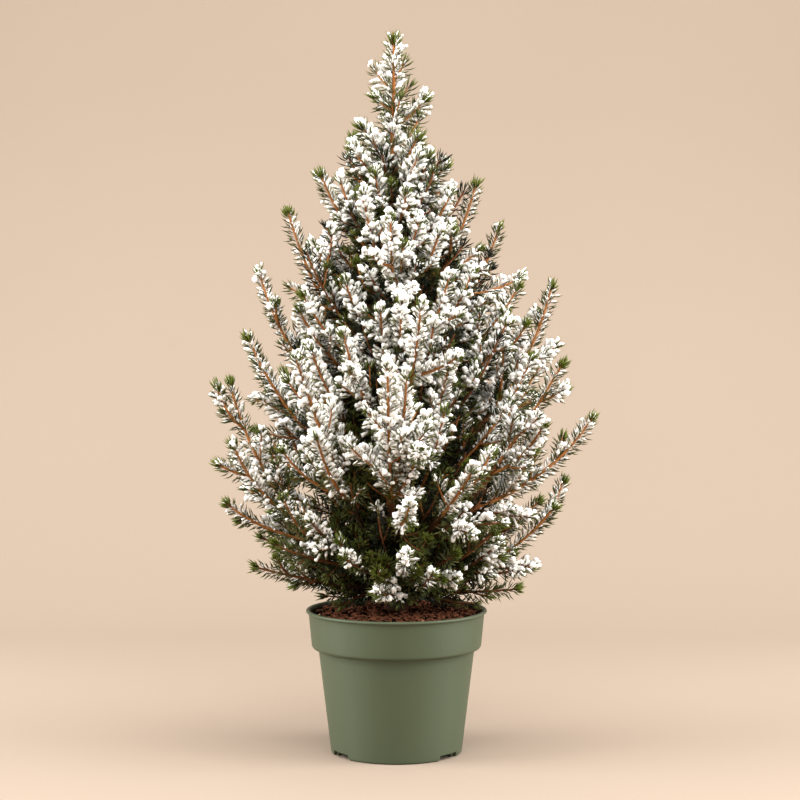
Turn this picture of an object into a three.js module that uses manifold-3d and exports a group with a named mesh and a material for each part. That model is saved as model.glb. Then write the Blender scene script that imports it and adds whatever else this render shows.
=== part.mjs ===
// A young spruce in a nursery pot: pot, compost, trunk, main boughs and the masses of its foliage.
// Millimetres, +Z up. The origin is the middle of the pot's flat underside, and the front is -Y.
// Headings are degrees seen from above, turning left from +X: 0 right, 90 back, 180 left, 270 front.
import * as THREE from "three";
import { mergeVertices } from "three/addons/utils/BufferGeometryUtils.js";
import Module from "manifold-3d";

const wasm = await Module();
wasm.setup();

// ---- Driving dimensions ----------------------------------------------------------------------

const GAP = 0.3; // clearance that touching pieces keep

/** How far a cutting solid runs past what it cuts. */
const PAST = 5;

const POT = {
  height: 150,
  lipRadius: 95,
  lipDepth: 3,
  collarTopRadius: 92.4,
  collarFootRadius: 89,
  collarDepth: 38,
  stepDepth: 3.4,
  bodyRadius: 81.9,
  baseRadius: 68.7,
  wall: 1.6,
  floor: 1.8,
  footChamfer: 1.2,
  stepRound: 1.5,
  stepRise: 1.6,
  lipUndercut: 0.6,
  lipChamfer: 0.8,
  sides: 36,
};

const CHANNEL = {
  headings: [322, 212, 90],
  halfAngle: 12,
  innerRadius: 26,
  rise: 5.6,
  ribRadius: 65.4,
  ribLength: 5,
  ribThickness: 1.6,
  ribHeadings: [328, 206, 90],
  ribFoot: 0.8,
  holeRadius: 4,
  holeDistance: 45,
  holeSides: 10,
};

const COMPOST = {
  edgeHeight: 140.5,
  crownHeight: 147,
  flatRadius: 27,
  lumps: 1.6,
  slopeShares: [0, 0.35, 0.7, 1, 1.25],
  sides: 24,
};

const TRUNK = {
  foot: COMPOST.crownHeight + GAP,
  tip: 752,
  flareRadius: 13,
  flareHeight: 16,
  footRadius: 8.6,
  tipRadius: 1,
  lean: -4,
  sway: 1.6,
  swayLength: 260,
  sides: 8,
};

// The bare stretch of a bough, and how far its foliage laps over the end of it.
const LIMB = { footRadius: 4.4, endRadius: 2.3, sides: 6, rings: 7, lap: 0.03 };

// The stretch of the trunk that the topmost mass of foliage stands round.
const LEADER = { from: 576, to: 747 };

// A shoot's girth grows with its length. It leaves its bough flat and turns up to its tip: its bend
// lies at these shares of the way out and of the way up.
const SHOOT = {
  girthShare: 0.145,
  leastGirth: 8,
  mostGirth: 22,
  unevenness: 0.17,
  mainSides: 6,
  sideSides: 5,
  bend: [0.68, 0.28],
};

// The share of the greatest girth that a shoot has at shares of its length.
const SHOOT_PROFILE = [
  [0, 0],
  [0.07, 0.3],
  [0.45, 1],
  [0.84, 0.62],
  [1, 0],
];
const SIDE_PROFILE = [
  [0, 0],
  [0.4, 1],
  [0.84, 0.6],
  [1, 0],
];

// Main boughs: the height of the foot on the trunk, the tip's heading, reach and height, how far out
// and how far up the bend of the bough lies as shares of the way to the tip, and the share that is bare.
const BOUGHS = {
  left_long: { foot: 161, heading: 189, reach: 190, height: 392, bend: [0.47, 0.13], bare: 0.6 },
  right_long: { foot: 172, heading: 338, reach: 185, height: 415, bend: [0.42, 0.3], bare: 0.62 },
  front_left: { foot: 176, heading: 231, reach: 160, height: 423, bend: [0.36, 0.2], bare: 0.56 },
  front: { foot: 190, heading: 267, reach: 162, height: 415, bend: [0.52, 0.2], bare: 0.54 },
  front_right: { foot: 204, heading: 298, reach: 166, height: 312, bend: [0.5, 0.3], bare: 0.56 },
  right_low: { foot: 160, heading: 355, reach: 170, height: 264, bend: [0.52, 0.12], bare: 0.5 },
  left_low: { foot: 168, heading: 198, reach: 160, height: 202, bend: [0.5, 0.3], bare: 0.52 },
  left_high: { foot: 322, heading: 178, reach: 146, height: 511, bend: [0.72, 0.28], bare: 0.5 },
  right_high: { foot: 270, heading: 5, reach: 166, height: 497, bend: [0.76, 0.32], bare: 0.55 },
  back_left: { foot: 182, heading: 134, reach: 186, height: 404, bend: [0.45, 0.22], bare: 0.58 },
  back_right: { foot: 194, heading: 47, reach: 188, height: 418, bend: [0.46, 0.25], bare: 0.58 },
};

// Masses of foliage. Each starts at a height on the trunk or at a share of a bough's length, and its
// first shoot ends at the first tip. Its other shoots fork off the first one at a share of its length.
// A mass that has no shoot of its own to start with goes on along its bough to the bough's tip.
const tip = (from, heading, reach, height) => ({ from, heading, reach, height });

const MASSES = {
  leader: {
    on: "trunk",
    forks: [
      tip(0.42, 14, 34, 692), tip(0.26, 194, 40, 660), tip(0.1, 205, 52, 637),
      tip(0.16, 306, 40, 648), tip(0.52, 192, 24, 692), tip(0.32, 95, 42, 668),
    ],
  },
  top_right: { on: "trunk", main: tip(536, 347, 55, 620), forks: [tip(0.2, 19, 65, 594)] },
  top_left: { on: "trunk", main: tip(490, 173, 82, 611), forks: [tip(0.25, 192, 48, 592)] },
  top_back: { on: "trunk", main: tip(522, 62, 58, 618), forks: [tip(0.2, 122, 66, 603)] },
  crown_right: { on: "trunk", main: tip(452, 0, 84, 600), forks: [tip(0.2, 331, 66, 554)] },
  crown_left: {
    on: "trunk",
    main: tip(408, 182, 115, 573),
    forks: [tip(0.3, 202, 69, 554), tip(0.2, 186, 78, 536)],
  },
  crown_front: { on: "trunk", main: tip(430, 266, 86, 563), forks: [tip(0.25, 252, 98, 523)] },
  crown_back_left: { on: "trunk", main: tip(440, 118, 92, 566), forks: [tip(0.3, 152, 108, 532)] },
  crown_back_right: { on: "trunk", main: tip(446, 62, 96, 574), forks: [tip(0.3, 32, 112, 536)] },
  shoulder_right: { on: "trunk", main: tip(392, 5, 110, 557), forks: [tip(0.3, 15, 142, 504)] },
  shoulder_front_right: { on: "trunk", main: tip(390, 312, 82, 504), forks: [tip(0.2, 304, 116, 463)] },
  shoulder_left: { on: "trunk", main: tip(356, 216, 120, 484), forks: [] },
  shoulder_front: { on: "trunk", main: tip(338, 281, 131, 473), forks: [tip(0.25, 300, 132, 422)] },
  shoulder_front_left: { on: "trunk", main: tip(330, 246, 131, 446), forks: [tip(0.25, 252, 152, 408)] },
  shoulder_back: { on: "trunk", main: tip(344, 98, 146, 494), forks: [tip(0.3, 74, 150, 462)] },
  side_left: { on: "trunk", main: tip(286, 185, 158, 443), forks: [tip(0.35, 160, 164, 424)] },
  side_right: { on: "trunk", main: tip(262, 18, 176, 432), forks: [tip(0.3, 30, 180, 374)] },
  left_long_end: { on: "left_long", forks: [tip(0.62, 183, 176, 396)] },
  left_long_side: { on: "left_long", main: tip(0.5, 193, 194, 311), forks: [tip(0.4, 197, 177, 333)] },
  left_long_low: { on: "left_long", main: tip(0.4, 190, 184, 270), forks: [tip(0.4, 184, 172, 246)] },
  left_long_front: { on: "left_long", main: tip(0.44, 224, 158, 282), forks: [] },
  right_long_end: { on: "right_long", forks: [tip(0.4, 344, 184, 390)] },
  right_long_side: { on: "right_long", main: tip(0.56, 337, 166, 354), forks: [tip(0.2, 338, 158, 321)] },
  right_long_outer: { on: "right_long", main: tip(0.42, 355, 208, 358), forks: [tip(0.3, 2, 176, 338)] },
  front_left_end: { on: "front_left", forks: [tip(0.4, 222, 150, 402)] },
  front_left_side: { on: "front_left", main: tip(0.5, 242, 168, 346), forks: [tip(0.3, 218, 150, 330)] },
  front_end: { on: "front", forks: [tip(0.4, 274, 152, 408)] },
  front_side: { on: "front", main: tip(0.5, 277, 178, 333), forks: [tip(0.3, 282, 146, 362)] },
  front_low: { on: "front", main: tip(0.3, 275, 164, 280), forks: [tip(0.3, 276, 150, 248)] },
  front_right_end: { on: "front_right", forks: [tip(0.4, 310, 150, 330)] },
  front_right_side: { on: "front_right", main: tip(0.42, 301, 150, 240), forks: [tip(0.3, 326, 138, 249)] },
  right_low_end: { on: "right_low", forks: [tip(0.2, 3, 178, 292)] },
  right_low_side: { on: "right_low", main: tip(0.36, 7, 154, 195), forks: [tip(0.3, 350, 120, 176)] },
  left_low_end: { on: "left_low", forks: [tip(0.2, 206, 138, 218)] },
  left_low_side: { on: "left_low", main: tip(0.36, 192, 116, 176), forks: [] },
  left_high_end: { on: "left_high", forks: [tip(0.3, 190, 128, 478)] },
  right_high_end: { on: "right_high", forks: [tip(0.4, 12, 150, 470)] },
  right_high_side: { on: "right_high", main: tip(0.5, 350, 139, 457), forks: [tip(0.2, 356, 114, 468)] },
  back_left_end: { on: "back_left", forks: [tip(0.3, 122, 172, 384)] },
  back_left_side: { on: "back_left", main: tip(0.5, 148, 188, 340), forks: [tip(0.2, 160, 176, 276)] },
  back_right_end: { on: "back_right", forks: [tip(0.3, 60, 176, 392)] },
  back_right_side: { on: "back_right", main: tip(0.5, 34, 190, 336), forks: [tip(0.2, 24, 172, 262)] },
  back_low: {
    on: "trunk",
    main: tip(190, 92, 172, 268),
    forks: [tip(0.2, 118, 160, 214), tip(0.2, 62, 164, 226)],
  },
  back_middle: { on: "trunk", main: tip(256, 92, 180, 366), forks: [] },
  foot_front: { on: "trunk", main: tip(172, 288, 124, 205), forks: [tip(0.2, 258, 114, 182)] },
  foot_left: { on: "trunk", main: tip(190, 246, 134, 223), forks: [tip(0.3, 238, 112, 240)] },
};

const COLOURS = {
  pot: [0x6b7359, 0.62],
  compost: [0x55301f, 1],
  trunk: [0x5a3a24, 0.9],
  bough: [0x8a5428, 0.85],
  foliage: [0x3c5230, 0.8],
};

// ---- Solids ----------------------------------------------------------------------------------

/** A number from 0 to 1 that is always the same for the same seed and count. */
function chance(seed, count) {
  const wave = Math.sin(seed * 12.9898 + count * 78.233) * 43758.5453;
  return wave - Math.floor(wave);
}

/** A seed for a name, so that each piece is uneven in its own way. */
const seedOf = (name) => [...name].reduce((sum, letter) => (sum * 31 + letter.charCodeAt(0)) % 9973, 7);

/** A closed three.js geometry as a solid: doubles merged, and triangles of no width dropped. */
function solidOf(geometry) {
  const bare = new THREE.BufferGeometry().setAttribute("position", geometry.getAttribute("position"));
  bare.setIndex(geometry.getIndex());
  const merged = mergeVertices(bare, 1e-3);
  const corners = merged.getIndex().array;
  const kept = [];
  for (let i = 0; i < corners.length; i += 3) {
    const [a, b, c] = corners.slice(i, i + 3);
    if (a !== b && b !== c && a !== c) kept.push(a, b, c);
  }
  const vertProperties = new Float32Array(merged.getAttribute("position").array);
  const build = (triVerts) => new wasm.Manifold(new wasm.Mesh({ numProp: 3, vertProperties, triVerts }));
  const made = build(new Uint32Array(kept));
  return made.volume() > 0 ? made : build(new Uint32Array(kept.reverse()));
}

/** A solid back as a mesh with the name and finish it is known by. */
function meshOf(name, solid, [colour, roughness]) {
  const { vertProperties, triVerts } = solid.getMesh();
  const geometry = new THREE.BufferGeometry();
  geometry.setAttribute("position", new THREE.BufferAttribute(vertProperties, 3));
  geometry.setIndex(new THREE.BufferAttribute(triVerts, 1));
  geometry.computeVertexNormals();
  const finish = { color: colour, roughness, metalness: 0, flatShading: true };
  const material = new THREE.MeshStandardMaterial(finish);
  const mesh = new THREE.Mesh(geometry, material);
  mesh.name = name;
  return mesh;
}

/** The largest body of a solid that cuts have left in pieces. */
function largest(solid) {
  return solid.decompose().reduce((most, body) => (body.volume() > most.volume() ? body : most));
}

/** A lathe turned about +Z from [radius, height] pairs. */
function turned(profile, sides) {
  const points = profile.map(([radius, height]) => new THREE.Vector2(radius, height));
  return new THREE.LatheGeometry(points, sides).rotateX(Math.PI / 2);
}

/** A point at a heading, a distance from the axis and a height. */
function polar(heading, reach, height) {
  const angle = THREE.MathUtils.degToRad(heading);
  return new THREE.Vector3(reach * Math.cos(angle), reach * Math.sin(angle), height);
}

/**
 * A turned shape bent along a path: each [share of length, radius] pair is a ring square to the path.
 * Every corner's radius is uneven by its own chance, except at the two ends.
 */
function bent(path, profile, sides, unevenness, seed) {
  const points = profile.map(([share, radius]) => new THREE.Vector2(radius, share));
  const shape = new THREE.LatheGeometry(points, sides);
  const place = shape.getAttribute("position");
  for (let i = 0; i < place.count; i++) {
    const share = THREE.MathUtils.clamp(place.getY(i), 0, 1);
    const column = Math.floor(i / profile.length) % sides;
    const lump = 1 + unevenness * (2 * chance(seed, column * 17 + (i % profile.length)) - 1);
    const tangent = path.getTangent(share);
    const beside = new THREE.Vector3(0, 0, 1).cross(polar(seed, 1, 0)).projectOnPlane(tangent).normalize();
    const above = new THREE.Vector3().crossVectors(tangent, beside);
    const point = path.getPoint(share);
    point.addScaledVector(beside, place.getX(i) * lump).addScaledVector(above, place.getZ(i) * lump);
    point.addScaledVector(tangent, (place.getY(i) - share) * path.getLength());
    place.setXYZ(i, point.x, point.y, point.z);
  }
  return shape;
}

// ---- Pot and compost -------------------------------------------------------------------------

/** The pot's outside radius at a height on its tapering body. */
function bodyRadiusAt(height) {
  const top = POT.height - POT.collarDepth - POT.stepDepth;
  return POT.baseRadius + ((POT.bodyRadius - POT.baseRadius) * height) / top;
}

/** The pot's outside, from the axis up to the lip, moved inwards by a wall's thickness. */
function potProfile(inset, floorHeight, topHeight) {
  const collarFoot = POT.height - POT.collarDepth;
  const step = collarFoot - POT.stepDepth;
  const lipFoot = POT.height - POT.lipDepth;
  const lip = inset ? POT.collarTopRadius : POT.lipRadius;
  return [
    [0, floorHeight],
    [bodyRadiusAt(floorHeight) - inset - POT.footChamfer, floorHeight],
    [bodyRadiusAt(floorHeight + POT.footChamfer) - inset, floorHeight + POT.footChamfer],
    [POT.bodyRadius - inset, step + inset],
    [POT.collarFootRadius - POT.stepRound - inset, step + POT.stepRise + inset],
    [POT.collarFootRadius - inset, collarFoot + inset],
    [POT.collarTopRadius - inset, lipFoot],
    [lip - inset, lipFoot + POT.lipUndercut],
    [lip - inset, topHeight - POT.lipChamfer],
    [lip - inset - POT.lipChamfer, topHeight],
    [0, topHeight],
  ];
}

/** A drain channel under the floor: a wedge about its heading, from near the middle out past the wall. */
function channel(heading, grow) {
  const spread = THREE.MathUtils.degToRad(CHANNEL.halfAngle) + grow / CHANNEL.innerRadius / 2;
  const centre = THREE.MathUtils.degToRad(heading);
  const outline = new THREE.Shape();
  const outer = POT.baseRadius + PAST * 4;
  outline.absarc(0, 0, outer, centre - spread, centre + spread, false);
  outline.absarc(0, 0, CHANNEL.innerRadius - grow, centre + spread, centre - spread, true);
  const depth = CHANNEL.rise + grow + PAST;
  const wedge = new THREE.ExtrudeGeometry(outline, { depth, bevelEnabled: false, curveSegments: 4 });
  return solidOf(wedge.translate(0, 0, -PAST));
}

/** The short rib that stands in a channel's mouth. */
function channelRib(heading) {
  const rib = new THREE.BoxGeometry(CHANNEL.ribLength, CHANNEL.ribThickness, CHANNEL.rise);
  rib.translate(CHANNEL.ribRadius, 0, CHANNEL.rise / 2 + CHANNEL.ribFoot);
  return solidOf(rib.rotateZ(THREE.MathUtils.degToRad(heading)));
}

/** The drain hole through a channel's roof. */
function drainHole(heading) {
  const { holeRadius, holeSides } = CHANNEL;
  const hole = new THREE.CylinderGeometry(holeRadius, holeRadius, PAST * 6, holeSides);
  const place = polar(heading, CHANNEL.holeDistance, 0);
  return solidOf(hole.rotateX(Math.PI / 2).translate(place.x, place.y, 0));
}

function potSolid() {
  let pot = solidOf(turned(potProfile(0, 0, POT.height), POT.sides));
  let hollow = solidOf(turned(potProfile(POT.wall, POT.floor, POT.height + PAST), POT.sides));
  for (const heading of CHANNEL.headings) {
    pot = pot.subtract(channel(heading, 0));
    hollow = hollow.subtract(channel(heading, POT.wall));
  }
  pot = pot.subtract(hollow);
  for (const heading of CHANNEL.ribHeadings) pot = pot.add(channelRib(heading));
  for (const heading of CHANNEL.headings) pot = pot.subtract(drainHole(heading));
  return pot;
}

/** The compost: the pot's hollow up to an uneven top that rises to a level place under the trunk. */
function compostSolid() {
  const filled = POT.wall + GAP;
  const inside = potProfile(filled, POT.floor + GAP, POT.height + PAST);
  let compost = solidOf(turned(inside, POT.sides));
  for (const heading of CHANNEL.headings) compost = compost.subtract(channel(heading, filled));
  const { edgeHeight, crownHeight, flatRadius, lumps, slopeShares, sides } = COMPOST;
  const slope = slopeShares.map((share) => {
    const radius = flatRadius + share * (POT.collarTopRadius - flatRadius);
    return [radius, crownHeight - share * (crownHeight - edgeHeight)];
  });
  const above = POT.height + PAST * 10;
  const cover = turned([[0, crownHeight], ...slope, [slope.at(-1)[0], above], [0, above]], sides);
  const place = cover.getAttribute("position");
  for (let i = 0; i < place.count; i++) {
    const radius = Math.hypot(place.getX(i), place.getY(i));
    const column = Math.round((Math.atan2(place.getY(i), place.getX(i)) / Math.PI / 2 + 1) * sides) % sides;
    const loose = radius > flatRadius + 1 && place.getZ(i) < POT.height;
    if (loose) place.setZ(i, place.getZ(i) + lumps * (2 * chance(column, Math.round(radius)) - 1));
  }
  return largest(compost.subtract(solidOf(cover)));
}

// ---- Trunk and boughs ------------------------------------------------------------------------

/** The middle of the trunk at a height: a slight lean and a slow sway. */
function trunkAt(height) {
  const share = (height - TRUNK.foot) / (TRUNK.tip - TRUNK.foot);
  const sway = TRUNK.sway * Math.sin((2 * Math.PI * (height - TRUNK.foot)) / TRUNK.swayLength);
  return new THREE.Vector3(TRUNK.lean * share + sway, sway * 0.6, height);
}

/** The trunk's radius at a height: an even taper, with a flare just above the compost. */
function trunkRadiusAt(height) {
  const share = (height - TRUNK.foot) / (TRUNK.tip - TRUNK.foot);
  const flare = Math.exp((-2.2 * (height - TRUNK.foot)) / TRUNK.flareHeight);
  const taper = TRUNK.footRadius + (TRUNK.tipRadius - TRUNK.footRadius) * share ** 0.85;
  return taper + (TRUNK.flareRadius - TRUNK.footRadius) * flare;
}

/** Part of a curve between two shares of its parameter, as a curve of its own. */
class Stretch extends THREE.Curve {
  constructor(at) {
    super();
    this.at = at;
  }
  getPoint(share) {
    return this.at(share);
  }
}

function trunkSolid(grow) {
  const heights = [0, 0.012, 0.03, 0.06, 0.12, 0.2, 0.3, 0.4, 0.5, 0.6, 0.7, 0.8, 0.9, 1];
  const span = TRUNK.tip - TRUNK.foot;
  const path = new Stretch((share) => trunkAt(TRUNK.foot + share * span));
  const rings = heights.map((share) => [share, trunkRadiusAt(TRUNK.foot + share * span) + grow]);
  const profile = [[0, 0], ...rings, [1, 0]];
  const upright = profile.map(([share, radius]) => new THREE.Vector2(radius, share));
  const shape = new THREE.LatheGeometry(upright, TRUNK.sides).rotateX(Math.PI / 2);
  const place = shape.getAttribute("position");
  for (let i = 0; i < place.count; i++) {
    const share = place.getZ(i);
    const middle = path.getPoint(share);
    const overshoot = share === 0 ? -grow : share === 1 ? grow : 0;
    place.setXYZ(i, middle.x + place.getX(i), middle.y + place.getY(i), middle.z + overshoot);
  }
  return solidOf(shape);
}

/** A bough's middle line: from the trunk out to its tip, bending upwards on the way. */
function boughCurve({ foot, heading, reach, height, bend }) {
  const start = trunkAt(foot);
  const knee = polar(heading, reach * bend[0], foot + (height - foot) * bend[1]);
  return new THREE.QuadraticBezierCurve3(start, knee, polar(heading, reach, height));
}

/** The bare stretch of a bough, a tapering limb that ends where its foliage begins. */
function limbSolid(name, bough, grow) {
  const curve = boughCurve(bough);
  const path = new Stretch((share) => curve.getPoint(share * bough.bare));
  const rings = [];
  for (let ring = 0; ring < LIMB.rings; ring++) {
    const share = ring / (LIMB.rings - 1);
    rings.push([share, LIMB.footRadius + (LIMB.endRadius - LIMB.footRadius) * share + grow]);
  }
  const stretched = grow / path.getLength();
  const profile = [[-stretched, 0], [-stretched, rings[0][1]], ...rings.slice(1, -1)];
  profile.push([1 + stretched, rings.at(-1)[1]], [1 + stretched, 0]);
  return solidOf(bent(path, profile, LIMB.sides, 0, seedOf(name)));
}

// ---- Foliage ---------------------------------------------------------------------------------

/** One shoot's solid: an uneven spindle along a path, with the girth that its length gives. */
function shootSolid(path, { profile, sides, seed, grow }) {
  const length = path.getLength();
  const girth = THREE.MathUtils.clamp(length * SHOOT.girthShare, SHOOT.leastGirth, SHOOT.mostGirth);
  const stretched = grow / length;
  const rings = profile.map(([share, size], i) => {
    const end = i === 0 || i === profile.length - 1;
    const along = end ? share + (i ? 1 : -1) * stretched * 2 : share;
    return [along, end ? 0 : size * girth + grow * 1.3];
  });
  return solidOf(bent(path, rings, sides, SHOOT.unevenness, seed));
}

/** The path of a shoot: it leaves outwards, and turns up to its tip. */
function shootPath(start, { heading, reach, height }) {
  const end = polar(heading, reach, height);
  const [out, up] = SHOOT.bend;
  const middle = start.clone().lerp(end, out);
  middle.z = THREE.MathUtils.lerp(start.z, end.z, up);
  return new THREE.QuadraticBezierCurve3(start, middle, end);
}

/** The path of a mass's first shoot. */
function mainPath({ on, main }) {
  if (on === "trunk" && main) return shootPath(trunkAt(main.from), main);
  if (on === "trunk") {
    const { from, to } = LEADER;
    return new Stretch((share) => trunkAt(from + share * (to - from)));
  }
  const bough = boughCurve(BOUGHS[on]);
  if (main) return shootPath(bough.getPoint(main.from), main);
  const from = BOUGHS[on].bare - LIMB.lap;
  return new Stretch((share) => bough.getPoint(from + share * (1 - from)));
}

/** A mass: its first shoot joined with those that fork off it. */
function massSolid(name, mass, grow) {
  const seed = seedOf(name);
  const path = mainPath(mass);
  const first = shootSolid(path, { profile: SHOOT_PROFILE, sides: SHOOT.mainSides, seed, grow });
  return mass.forks.reduce((whole, fork, i) => {
    const side = shootPath(path.getPoint(fork.from), fork);
    const own = { profile: SIDE_PROFILE, sides: SHOOT.sideSides, seed: seed + 101 * (i + 1), grow };
    return whole.add(shootSolid(side, own));
  }, first);
}

/** Everything under a level that is inside the pot's rim, which foliage stays clear of. */
function potRoom() {
  const top = POT.height + GAP * 2;
  const radius = POT.lipRadius + GAP * 2;
  return solidOf(turned([[0, 0], [radius, 0], [radius, top], [0, top]], POT.sides));
}

// ---- The plant in its pot --------------------------------------------------------------------

const plant = new THREE.Group();
plant.add(meshOf("pot", potSolid(), COLOURS.pot));
plant.add(meshOf("compost", compostSolid(), COLOURS.compost));
plant.add(meshOf("trunk", trunkSolid(0), COLOURS.trunk));

// Every piece is cut by the room that the pieces before it take, so neighbours keep the gap.
const taken = [trunkSolid(GAP), potRoom()];

function cutByTaken(solid) {
  const box = solid.boundingBox();
  const near = taken.filter((other) => {
    const room = other.boundingBox();
    return [0, 1, 2].every((k) => room.min[k] < box.max[k] && room.max[k] > box.min[k]);
  });
  return largest(near.reduce((left, other) => left.subtract(other), solid));
}

for (const [name, bough] of Object.entries(BOUGHS)) {
  const limb = cutByTaken(limbSolid(name, bough, 0));
  plant.add(meshOf(`bough_${name}`, limb, COLOURS.bough));
  taken.push(limbSolid(name, bough, GAP));
}

for (const [name, mass] of Object.entries(MASSES)) {
  const foliage = cutByTaken(massSolid(name, mass, 0)).simplify(0.05);
  plant.add(meshOf(`foliage_${name}`, foliage, COLOURS.foliage));
  taken.push(massSolid(name, mass, GAP));
}

export default plant;
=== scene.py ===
# %% [markdown]
# # A snow-dusted dwarf spruce in a nursery pot
#
# A young conifer in a plastic pot: one straight leader, long boughs that leave it low and turn up at their
# tips, and shoots set all round with needles that carry snow on their upper sides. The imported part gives
# the pot, the limbs and the outline of every mass of foliage. This script grows the bark, twigs, needles
# and snow on that frame. All lengths are in metres.

import math

import bpy
import numpy as np
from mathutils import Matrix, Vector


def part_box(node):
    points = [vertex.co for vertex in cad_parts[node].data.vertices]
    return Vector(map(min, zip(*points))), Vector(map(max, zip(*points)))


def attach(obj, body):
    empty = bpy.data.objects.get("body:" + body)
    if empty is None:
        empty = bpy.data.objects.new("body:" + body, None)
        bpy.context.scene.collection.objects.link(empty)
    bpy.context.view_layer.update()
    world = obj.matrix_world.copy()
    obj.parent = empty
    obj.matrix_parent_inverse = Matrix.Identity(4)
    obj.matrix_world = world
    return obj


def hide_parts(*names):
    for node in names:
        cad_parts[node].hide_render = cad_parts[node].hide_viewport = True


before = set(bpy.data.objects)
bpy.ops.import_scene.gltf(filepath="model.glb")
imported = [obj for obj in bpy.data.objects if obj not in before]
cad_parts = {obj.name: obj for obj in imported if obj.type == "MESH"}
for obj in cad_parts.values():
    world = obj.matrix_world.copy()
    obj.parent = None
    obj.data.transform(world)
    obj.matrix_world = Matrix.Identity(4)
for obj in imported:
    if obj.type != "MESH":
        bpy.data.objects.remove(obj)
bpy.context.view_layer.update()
MM = 0.001

# %% [markdown]
# ## Camera
#
# The plant is seen from the front at about half its height, from two metres off, through a long lens, so
# that the pot's lip is a thin ellipse and the upright lines stay upright. A camera looks along its own -Z
# axis, so a quarter turn about X levels it, and a little less than that tips it down.

# %% Camera
CAMERA = {"lens": 85.95, "sensor": 36, "place": (0.0037, -2.0, 0.441), "tips_down": 2.04}
camera_data = bpy.data.cameras.new("camera")
camera_data.lens = CAMERA["lens"]
camera_data.sensor_width = CAMERA["sensor"]
camera = bpy.data.objects.new("camera", camera_data)
camera.location = CAMERA["place"]
camera.rotation_euler = (math.radians(90 - CAMERA["tips_down"]), 0, 0)
bpy.context.scene.collection.objects.link(camera)
bpy.context.scene.camera = camera
print("camera", tuple(camera.location))

# %% [markdown]
# ## Meshes from arrays
#
# Blender can build a shape by edit steps or modifiers. A spruce has a hundred thousand needles, so here
# every piece is worked out as whole numpy arrays of points and faces, which makes them all at once. One
# function turns such arrays into a mesh. A surface on a grid of rows and columns always has the same faces,
# so a second function lists them, and others close its ends, turn a shape and copy its faces.

# %% Arrays into meshes
def mesh_piece(name, points, faces, finish, smooth=True):
    """An object from points (n, 3) and a list of face arrays, each (m, 3) or (m, 4), that index them."""
    mesh = bpy.data.meshes.new(name)
    sizes = np.concatenate([np.full(len(f), f.shape[1]) for f in faces])
    corners = np.concatenate([f.ravel() for f in faces])
    mesh.vertices.add(len(points))
    mesh.vertices.foreach_set("co", np.asarray(points, np.float32).ravel())
    mesh.loops.add(len(corners))
    mesh.loops.foreach_set("vertex_index", corners.astype(np.int32))
    mesh.polygons.add(len(sizes))
    mesh.polygons.foreach_set("loop_start", (np.cumsum(sizes) - sizes).astype(np.int32))
    mesh.polygons.foreach_set("use_smooth", np.full(len(sizes), smooth))
    mesh.update(calc_edges=True)
    mesh.materials.append(finish)
    piece = bpy.data.objects.new(name, mesh)
    bpy.context.scene.collection.objects.link(piece)
    print(name, "triangles", int((sizes - 2).sum()))
    return piece


def grid_faces(rows, columns):
    """Quads between the rows of a grid whose columns run round and meet: each row's last joins its first."""
    row, column = np.meshgrid(np.arange(rows - 1), np.arange(columns), indexing="ij")
    here, beside = row * columns + column, row * columns + (column + 1) % columns
    return np.stack([here, beside, beside + columns, here + columns], -1).reshape(-1, 4)


def cap_faces(ring, pole, outwards):
    """Triangles from a ring of point numbers to a pole, turned to face out past the pole or back."""
    after = np.roll(ring, -1)
    fan = np.stack([ring, after, np.full(len(ring), pole)], -1)
    return fan if outwards else fan[:, ::-1]


def unit(vectors):
    """Vectors scaled to length 1."""
    return vectors / np.maximum(np.linalg.norm(vectors, axis=-1, keepdims=True), 1e-12)


def spun(points, turns):
    """Points turned about the upright axis, once by each of several angles: (turns, points, 3)."""
    x, y, z = points.T
    cosine, sine = np.cos(turns)[:, None], np.sin(turns)[:, None]
    return np.stack([x * cosine - y * sine, x * sine + y * cosine, z + 0 * cosine], -1)


def copied(faces, copies, each):
    """The faces of one shape for a number of copies of it that follow each other, each of so many points."""
    return (faces[None] + (np.arange(copies) * each)[:, None, None]).reshape(-1, faces.shape[1])


def path_length(path):
    """The length of a line of points."""
    return float(np.linalg.norm(np.diff(path, axis=0), axis=1).sum())


# %% [markdown]
# ## Finishes from sockets
#
# A finish is a node tree, which could be wired node by node. Here the numbers that change over a surface
# are written as ordinary sums, because a sum is easier to read than a list of wires: a small class wraps a
# socket, and each operator adds one Math node. Every other kind of node comes from one method, which takes
# its settings first and then the values or wires of its sockets.

# %% Shader maths
class Wire:
    """A node's output socket. Sums on it add Math nodes to its finish."""

    def __init__(self, finish, socket):
        self.finish, self.socket = finish, socket

    def maths(self, operation, first, second):
        """One Math node on two wires or numbers."""
        return self.finish.node("ShaderNodeMath", {"operation": operation}, {0: first, 1: second})

    def __add__(self, other):
        return self.maths("ADD", self, other)

    def __sub__(self, other):
        return self.maths("SUBTRACT", self, other)

    def __rsub__(self, other):
        return self.maths("SUBTRACT", other, self)

    def __mul__(self, other):
        return self.maths("MULTIPLY", self, other)

    __radd__, __rmul__ = __add__, __mul__


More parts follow.
